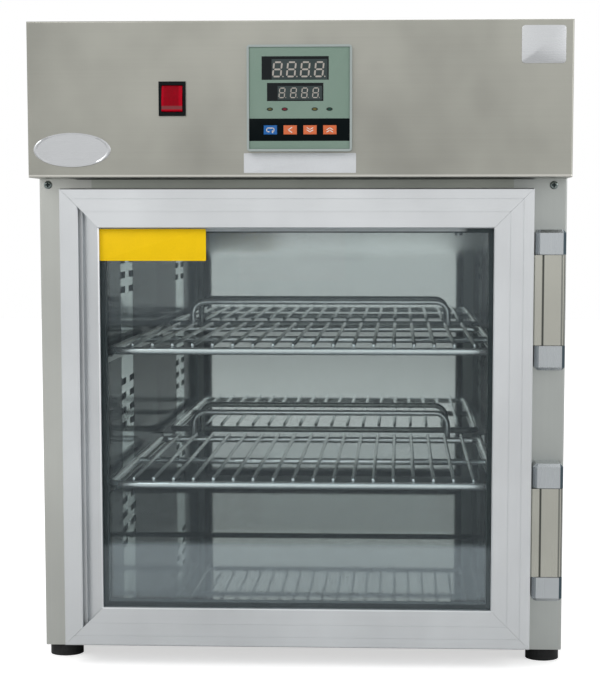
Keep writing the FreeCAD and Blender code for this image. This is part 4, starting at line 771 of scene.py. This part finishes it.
def carve(piece: bpy.types.Object, cutter: Mesh, finish: Material | None = None) -> None:
    """Cut a shape out of a piece.

    Args:
        piece: The piece that loses material.
        cutter: The shape that is taken away.
        finish: Material of the cut faces, if it differs.
    """
    bmesh.ops.recalc_face_normals(cutter, faces=cutter.faces)
    tool = solidify("cutter", cutter, finish or piece.active_material)
    mesh = tool.data
    step = piece.modifiers.new("cut", "BOOLEAN")
    step.operation, step.solver, step.object = "DIFFERENCE", "EXACT", tool
    step.material_mode, step.use_self = "TRANSFER", True
    shown = piece.evaluated_get(bpy.context.evaluated_depsgraph_get())
    done = bpy.data.meshes.new_from_object(shown)
    piece.modifiers.clear()
    piece.data = done
    bpy.data.objects.remove(tool)
    bpy.data.meshes.remove(mesh)


@dataclass
class Screws:
    """Pan-head screws with a cross recess; sizes are in metres."""

    finishes: Palette
    radius: float = 0.0039
    height: float = 0.0018
    slot: float = 0.0015
    reach: float = 0.0023
    depth: float = 0.0013

    def build(self, name: str, places: Sequence[tuple[float, float, float]], way: float,
              slot: str = "stainless") -> None:
        """Set screw heads on sheet that faces front or rear.

        Args:
            name: The piece's name.
            places: Where each head meets the sheet, in millimetres.
            way: -1 for heads that face front, 1 for rear.
            slot: Not used.
        """
        bm, cross = bmesh.new(), bmesh.new()
        out = Vector((0, way, 0))
        outline = ((0, 0), (1, 0), (1, 0.35), (0.93, 0.66), (0.72, 0.9), (0.4, 1), (0, 1))
        profile = [(self.radius * reach, self.height * lift) for reach, lift in outline]
        for place in places:
            centre = Vector(place) * MM
            lathe(bm, profile, centre, out, 24)
            top = centre + out * self.height
            for wide, tall in ((self.reach, self.slot / 2), (self.slot / 2, self.reach)):
                span = Vector((wide, self.depth, tall))
                grow_box(cross, top - span, top + span)
        # The cross's cut faces take a dark finish: painted shade in the recess.
        carve(make_piece(name, bm, self.finishes.screw, "cabinet"), cross,
              self.finishes.recess)


@dataclass
class Casing:
    """Outer sheets, labels, badge plates and screws of the cabinet."""

    finishes: Palette
    label: Spot = (-50.3, 467.0, 52.6, 485.0)
    badge: Spot = (-244.7, 472.4, -173.3, 504.0)
    crest: Spot = (202.6, 565.4, 242.6, 599.5)

    def build(self) -> None:
        """Dress the sheets and add what is stuck or screwed to them."""
        paint = self.finishes
        dress(paint, casing="bottom_front_rail base_pan", post_right="right_side_panel",
              header="header_fascia", post_left="left_side_panel", strip="top_front_rail",
              casing_top="top_panel", galvanised="rear_panel equipment_tray",
              wool="insulation_slabs",
              feet="front_left_foot front_right_foot rear_left_foot rear_right_foot")
        face = corners("header_fascia")[0].y
        stick("blank_front_label", self.label, face / MM, 0.15, (0.6, 0.03), paint.paper)
        self.fix_badge(face)
        stick("bare_corner_plate", self.crest, face / MM, 0.6, (3.0, 0.15), paint.plate)
        self.drive_screws()

    def fix_badge(self, face: float) -> None:
        """Fix the bare oval plate with its raised rim at the header's left."""
        low, high = flat(self.badge, face / MM, 0)
        bm = bmesh.new()
        profile = [(0, 0), (1, 0), (1, 0.5), (0.985, 0.8), (0.93, 0.8), (0.915, 0.55),
                   (0.90, 0.55), (0, 0.55)]
        lathe(bm, [(reach, lift * MM) for reach, lift in profile], Vector(), FRONT, 64)
        half = (high - low) / 2
        bmesh.ops.scale(bm, verts=bm.verts, vec=Vector((half.x, 1, half.z)))
        bmesh.ops.translate(bm, verts=bm.verts, vec=(low + high) / 2)
        make_piece("bare_oval_plate", bm, self.finishes.plate, "cabinet")

    def drive_screws(self) -> None:
        """Drive the screws of the columns and the rear panel."""
        kit = Screws(self.finishes)
        face = corners("left_side_panel")[0].y / MM
        kit.build("column_screws", [(-241.6, face, 457.4), (237.5, face, 456.8)], -1)
        low, high = (corner / MM for corner in corners("rear_panel"))
        rows = (low.z + 12, (low.z + high.z) / 2, high.z - 12)
        edges = (low.x + 10, high.x - 10)
        places = [(x, high.y, z) for x in edges for z in rows]
        kit.build("rear_screws", places, 1, "galvanised")


@dataclass
class Controller:
    """Temperature controller: face, windows with unlit digits, lamps and keys.

    Places are in millimetres. A row of digits holds their middles, its height above the floor,
    the digits' height and the ends of its field.
    """

    finishes: Palette
    face: Spot = (-45.0, 488.6, 47.0, 580.5)
    band: Spot = (-45.0, 495.8, 47.0, 516.1)
    windows: tuple[Spot, ...] = ((-33.4, 550.9, 27.8, 572.1), (-28.5, 531.8, 23.0, 548.2))
    rows: tuple = (((-19.0, -6.3, 6.3, 19.1), 560.3, 12.8, (-24.2, 26.6)),
                   ((-14.8, -4.4, 5.7, 15.8), 539.2, 8.6, (-18.8, 21.6)))
    lamps: tuple = ((-25.9, srgb(0x585836)), (-12.4, srgb(0x761C2E)),
                    (15.0, srgb(0x685E2E)), (28.5, srgb(0x143E32)))
    lamp_level: float = 524.5
    lamp_size: Pair = (2.9, 1.6)
    key_rim: float = -1.05
    keys: tuple[str, ...] = ("set", "shift", "down", "up")

    def build(self) -> None:
        """Dress the controller and print its face."""
        dress(self.finishes, rim="controller_bezel", black="controller_case",
              lens="controller_window", blue="set_key", orange="shift_key down_key up_key")
        self.lay_face()
        self.lay_digits()
        self.set_lamps()
        self.mark_keys()

    def plane(self) -> float:
        """Give the y of the bezel's face in millimetres."""
        return corners("controller_bezel")[0].y / MM + 1.0

    def lay_face(self) -> None:
        """Lay the sage film and the black key band on the bezel's face."""
        front = self.plane()
        room = Vector((self.key_rim, 3, self.key_rim)) * MM
        for name, spot, finish, thick, holes in (
                ("sage_face_film", self.face, self.finishes.sage, 0.08, self.windows),
                ("black_key_band", self.band, self.finishes.band, 0.14, ())):
            piece = stick(name, spot, front, thick, (0.8, 0.02), finish)
            cutter = bmesh.new()
            for hole in holes:
                grow_box(cutter, *flat(hole, front + 2, 4))
            for key in self.keys:
                low, high = corners(f"{key}_key")
                grow_box(cutter, low - room, high + room)
            carve(piece, cutter)

    def lay_digits(self) -> None:
        """Lay the digit fields and the unlit digits on both windows."""
        front = corners("controller_window")[0].y / MM
        fields, bars = bmesh.new(), bmesh.new()
        for places, middle, height, (left, right) in self.rows:
            spot = (left, middle - height * 0.72, right, middle + height * 0.72)
            add_plate(fields, *flat(spot, front, 0.03), 1, 0.4 * MM, 0.01 * MM)
            for x in places:
                self.add_digit(bars, Vector((x, front - 0.03, middle)), height)
        make_piece("digit_fields", fields, self.finishes.pit, "cabinet")
        make_piece("unlit_digits", bars, self.finishes.digit, "cabinet")

    def add_digit(self, bm: Mesh, middle: Vector, tall: float) -> None:
        """Add a digit of seven leaning bars and its point.

        Args:
            bm: The mesh in the making.
            middle: The digit's middle on the surface that carries it, in millimetres.
            tall: Distance between its top and bottom bars, in millimetres.
        """
        part = bmesh.new()
        wide, thick, depth, lean = tall * 0.56, tall * 0.14 - 0.3, 0.05, 0.10
        spans = [(0, level, wide - thick, thick) for level in (-tall / 2, 0, tall / 2)]
        spans += [(side * wide / 2, level, thick, tall / 2 - thick)
                  for side in (-1, 1) for level in (-tall / 4, tall / 4)]
        spans += [(wide * 0.80, -tall / 2, thick * 0.8, thick * 0.8)]
        for x, level, width, height in spans:
            half = Vector((width / 2, 0, height / 2))
            spot = Vector((x, 0, level))
            add_plate(part, spot - half - Vector((0, depth, 0)), spot + half, 1,
                      thick * 0.45, 0.004)
        shear = Matrix(((1, 0, lean, 0), (0, 1, 0, 0), (0, 0, 1, 0), (0, 0, 0, 1)))
        place = Matrix.Translation(middle * MM) @ Matrix.Scale(MM, 4) @ shear
        merge(bm, part, place)

    def set_lamps(self) -> None:
        """Set the four oval lamps, each a coloured lens in a dark rim, into the face."""
        rims = bmesh.new()
        for number, (x, colour) in enumerate(self.lamps, 1):
            merge(rims, self.oval(x, 1.0, 0.08, 0.2))
            lens = MouldedPlastic(
                f"lamp_lens_{number}", colour, 0.25, 400.0, 0.00001, 0.0, 0.2, 0.15)
            make_piece(f"status_lamp_{number}", self.oval(x, 0.6, 0.26, 0.14), lens.material(),
                       "cabinet")
        make_piece("lamp_rims", rims, self.finishes.lamp_rim, "cabinet")

    def oval(self, x: float, share: float, lift: float, tall: float) -> Mesh:
        """Shape a domed oval on the face.

        Args:
            x: Its middle, in millimetres as the rest.
            share: Its size as a share of the lamp's.
            lift: Height of its foot above the face.
            tall: Its own height.

        Returns:
            The oval as a mesh in the making.
        """
        bm = bmesh.new()
        profile = [(0, 0), (1, 0), (1, tall * 0.6), (0.88, tall * 0.9), (0.6, tall), (0, tall)]
        lathe(bm, profile, Vector(), FRONT, 32)
        wide, high = (size * share for size in self.lamp_size)
        bmesh.ops.scale(bm, verts=bm.verts, vec=Vector((wide, 1, high)) * MM)
        middle = Vector((x, self.plane() - lift, self.lamp_level)) * MM
        bmesh.ops.translate(bm, verts=bm.verts, vec=middle)
        return bm

    def mark_keys(self) -> None:
        """Print a loop arrow and chevrons on the keys."""
        for name in self.keys:
            low, high = corners(f"{name}_key")
            bm = bmesh.new()
            for start, end, thick in self.strokes(name):
                self.add_stroke(bm, Vector(start), Vector(end), thick)
            middle = (low + high) / 2
            place = Matrix.Translation(Vector((middle.x, low.y, middle.z))) @ Matrix.Scale(MM, 4)
            bmesh.ops.transform(bm, matrix=place, verts=bm.verts)
            make_piece(f"{name}_key_mark", bm, self.finishes.mark, f"{name}_key")

    def strokes(self, name: str) -> list[tuple[Pair, Pair, float]]:
        """List a key's strokes: start, end and thickness in millimetres about its middle."""
        if name == "set":
            loop = [(-1.0, -1.7), (-2.5, -1.7), (-3.3, -0.9), (-3.3, 0.9), (-2.5, 1.7),
                    (2.5, 1.7), (3.3, 0.9), (3.3, -0.9), (2.5, -1.7), (1.0, -1.7)]
            head = [(loop[-1], (2.3, level), 0.6) for level in (-0.7, -2.7)]
            return [(start, end, 0.7) for start, end in zip(loop, loop[1:])] + head
        if name == "shift":
            return [((1.6, 2.3), (-1.8, 0.0), 0.8), ((-1.8, 0.0), (1.6, -2.3), 0.8)]
        way = 1 if name == "up" else -1
        rows = [(way * level, way * (level + 1.7)) for level in (-2.0, 0.1)]
        return [((side * 2.8, low), (0.0, high), 0.7) for low, high in rows for side in (-1, 1)]

    def add_stroke(self, bm: Mesh, start: Vector, end: Vector, thick: float) -> None:
        """Add a raised bar with round ends between two points of a key's face."""
        part = bmesh.new()
        way = end - start
        half = way.length / 2 + thick * 0.3
        add_plate(part, (-half, -0.06, -thick / 2), (half, 0, thick / 2), 1, thick * 0.4, 0.01)
        middle = (start + end) / 2
        turn = Matrix.Rotation(-math.atan2(way.y, way.x), 4, "Y")
        place = Matrix.Translation((middle.x, 0, middle.y)) @ turn
        merge(bm, part, place)


@dataclass
class PowerSwitch:
    """Red rocker in its black frame."""

    finishes: Palette

    def build(self) -> None:
        """Dress the switch."""
        dress(self.finishes, black="rocker_bezel", rocker="power_rocker")


@dataclass
class Door:
    """Aluminium frame, double glazing, seal and what is stuck on the glass."""

    finishes: Palette
    sticker: Spot = (-187.1, 386.1, -87.5, 415.8)
    film: Spot = (-56.5, 367.6, 42.2, 415.8)

    def build(self) -> None:
        """Dress the door and stick the blank labels on its glass."""
        paint = self.finishes
        dress(paint, bar="door_top_rail door_bottom_rail",
              post="door_handle_stile door_hinge_stile", zinc="door_corner_keys",
              glass="outer_glass inner_glass", spacer="glass_spacer", bead="glazing_bead",
              rubber="door_gasket")
        face = corners("outer_glass")[0].y / MM
        for name, spot, finish in (("blank_glass_sticker", self.sticker, paint.yellow),
                                   ("clear_glass_film", self.film, paint.film)):
            stick(name, spot, face, 0.12, (1.0, 0.03), finish, "door")


@dataclass
class Hinges:
    """Two hinges with capped ends and a covered barrel."""

    finishes: Palette

    def build(self) -> None:
        """Dress the hinges."""
        for hinge in ("upper_hinge", "lower_hinge"):
            dress(self.finishes, cap=f"{hinge}_top_block {hinge}_bottom_block",
                  barrel=f"{hinge}_barrel")
        dress(self.finishes, pin="hinge_pins")


@dataclass
class WireShelf:
    """Shelf of round welded rod with a raised back lip; sizes are in metres."""

    finishes: Palette
    name: str
    rod: float = 0.00375
    cross_rod: float = 0.0035
    wire: float = 0.002
    lip: float = 0.00325
    corner: float = 0.012
    lip_bend: float = 0.014
    wires: int = 18
    pitch: float = 0.0195
    wire_rise: float = 0.00575
    cross_share: float = 0.48
    overhang: float = 0.001

    def build(self) -> None:
        """Build the shelf and its lip in place of the straight-edged solids."""
        low, high = corners(self.name)
        level = low.z + self.rod
        shelf, lip = bmesh.new(), bmesh.new()
        self.bend_frame(shelf, low, high, level)
        self.lay_wires(shelf, low, high, level)
        self.bend_lip(lip)
        for piece, bm, node in (("rods", shelf, self.name), ("lip_rod", lip, f"{self.name}_lip")):
            make_piece(f"{self.name}_{piece}", bm, self.finishes.wire, self.name,
                       [node], 60)

    def bend_frame(self, bm: Mesh, low: Vector, high: Vector, level: float) -> None:
        """Bend the closed outer frame and weld in the cross rod."""
        x, front, back = high.x - self.rod, low.y + self.rod, high.y - self.rod
        straight, side = 2 * (x - self.corner), (back - front) - 2 * self.corner
        rod = Rod(bm, Vector((0, front, level)), Vector((1, 0, 0)), self.rod)
        for length in (straight / 2, side, straight, side):
            rod.run(length).bend(UP, self.corner)
        rod.run(straight / 2)
        bmesh.ops.remove_doubles(bm, verts=bm.verts, dist=WELD)
        span = x - self.rod * 0.5
        cross = front + (back - front) * self.cross_share
        self.add_rod(bm, Vector((-span, cross, level)), Vector((1, 0, 0)), 2 * span,
                     self.cross_rod)

    def lay_wires(self, bm: Mesh, low: Vector, high: Vector, level: float) -> None:
        """Lay the wires that run from front to back on the frame."""
        reach = self.wire * 0.6
        start = low.y + self.rod - self.overhang + reach
        length = high.y - low.y - 2 * (self.rod - self.overhang + reach)
        for number in range(self.wires):
            x = (number - (self.wires - 1) / 2) * self.pitch
            self.add_rod(bm, Vector((x, start, level + self.wire_rise)), Vector((0, 1, 0)),
                         length, self.wire, 12)

    def add_rod(self, bm: Mesh, start: Vector, way: Vector, length: float, radius: float,
                sides: int = 16) -> None:
        """Add a straight rod with both ends domed."""
        part = bmesh.new()
        middle = start + way * length / 2
        for sign in (-1, 1):
            Rod(part, middle, way * sign, radius, sides).run(length / 2).round_end()
        bmesh.ops.remove_doubles(part, verts=part.verts, dist=WELD)
        merge(bm, part)

    def bend_lip(self, bm: Mesh) -> None:
        """Bend the lip that keeps blankets off the back wall."""
        low, high = corners(f"{self.name}_lip")
        x, y = high.x - self.lip, (low.y + high.y) / 2
        top, foot = high.z - self.lip, low.z + self.lip * 0.6
        for sign in (-1, 1):
            rod = Rod(bm, Vector((0, y, top)), Vector((sign, 0, 0)), self.lip)
            rod.run(x - self.lip_bend).bend(Vector((0, sign, 0)), self.lip_bend)
            rod.run(top - foot - self.lip_bend).round_end()
        bmesh.ops.remove_doubles(bm, verts=bm.verts, dist=WELD)


@dataclass
class Interior:
    """Heated cavity, air ducts, fan, heater and wiring parts."""

    finishes: Palette

    def build(self) -> None:
        """Dress everything inside the casing and build the shelves."""
        dress(self.finishes, liner="inner_liner ceiling_panel",
              duct="left_duct_panel right_duct_panel", fan="fan_wheel fan_guard",
              pin="fan_shaft", motor="fan_motor", element="heating_element",
              black="terminal_block heater_relay mains_inlet", probe="temperature_probe",
              runner="upper_shelf_runners lower_shelf_runners")
        for name in ("upper_shelf", "lower_shelf"):
            WireShelf(self.finishes, name).build()


@dataclass
class Studio:
    """Floor, lamps, world and camera."""

    camera: tuple[float, float, float] = (0.0923, -1.9109, 0.4197)
    tilt: float = 84.3
    turn: float = 2.57
    lens: float = 107.22
    shift: Pair = (-0.0309, 0.0885)
    lamps: tuple = (("key_lamp", (-1.6, -2.2, 2.2), 1.6, 26.0),
                    ("fill_lamp", (2.0, -1.6, 1.2), 1.6, 12.0),
                    ("rear_lamp", (0.4, 2.0, 2.2), 1.6, 14.0))

    def build(self) -> None:
        """Set up the studio."""
        self.lay_floor()
        self.hang_lamps()
        self.light_world()
        self.aim_camera()

    def lay_floor(self) -> None:
        """Lay a pale floor that keeps the shadow and shows white to the camera."""
        bm = bmesh.new()
        bmesh.ops.create_grid(bm, x_segments=1, y_segments=1, size=6.0)
        shader = Shader(bpy.data.materials.new("studio_floor"))
        path = shader.node("LightPath", output="Is Camera Ray")
        glow = shader.node("Emission", {"Color": (1.0, 1.0, 1.0), "Strength": path * 0.6})
        matt = shader.principled((0.82, 0.82, 0.82), 0.9)
        paint = shader.close(shader.node("AddShader", {0: matt, 1: glow}))
        solidify("studio_floor", bm, paint)

    def hang_lamps(self) -> None:
        """Hang the lamps and turn them to the warmer."""
        for name, place, size, power in self.lamps:
            data = bpy.data.lights.new(name, "AREA")
            data.shape, data.size, data.energy = "DISK", size, power
            lamp = add_object(name, data)
            lamp.location = place
            way = Vector((0, 0, 0.3)) - Vector(place)
            lamp.rotation_euler = way.to_track_quat("-Z", "Y").to_euler()

    def light_world(self) -> None:
        """Light the world: white to the eye and in reflections, dimmer on what it lights."""
        sky = Shader(bpy.data.worlds.new("studio_world"))
        seen = sky.node("LightPath", output="Is Camera Ray")
        for name in ("Is Glossy Ray", "Is Transmission Ray"):
            seen = seen.math("MAXIMUM", sky.node("LightPath", output=name))
        ground = sky.node("Background", {
            "Color": (1.0, 1.0, 1.0), "Strength": seen.spread(0.55, 1.0)})
        bpy.context.scene.world = sky.close(ground)

    def aim_camera(self) -> None:
        """Place the camera where the photograph was taken from."""
        data = bpy.data.cameras.new("photo_camera")
        data.sensor_fit, data.sensor_width, data.lens = "HORIZONTAL", 36.0, self.lens
        data.shift_x, data.shift_y = self.shift
        camera = add_object("photo_camera", data)
        camera.location = self.camera
        camera.rotation_euler = (math.radians(self.tilt), 0, math.radians(self.turn))
        scene = bpy.context.scene
        scene.camera = camera
        scene.view_settings.view_transform = "Standard"
        scene.cycles.transparent_max_bounces = 24


def main() -> None:
    """Build and dress the warmer, then the studio."""
    logging.basicConfig(level=logging.INFO, format="%(name)s: %(message)s")
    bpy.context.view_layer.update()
    finishes = Palette()
    for part in (Casing(finishes), Controller(finishes), PowerSwitch(finishes), Door(finishes),
                 Hinges(finishes), Interior(finishes), Studio()):
        part.build()
        LOG.info("finished %s", type(part).__name__)


if __name__ == "__main__":
    main()
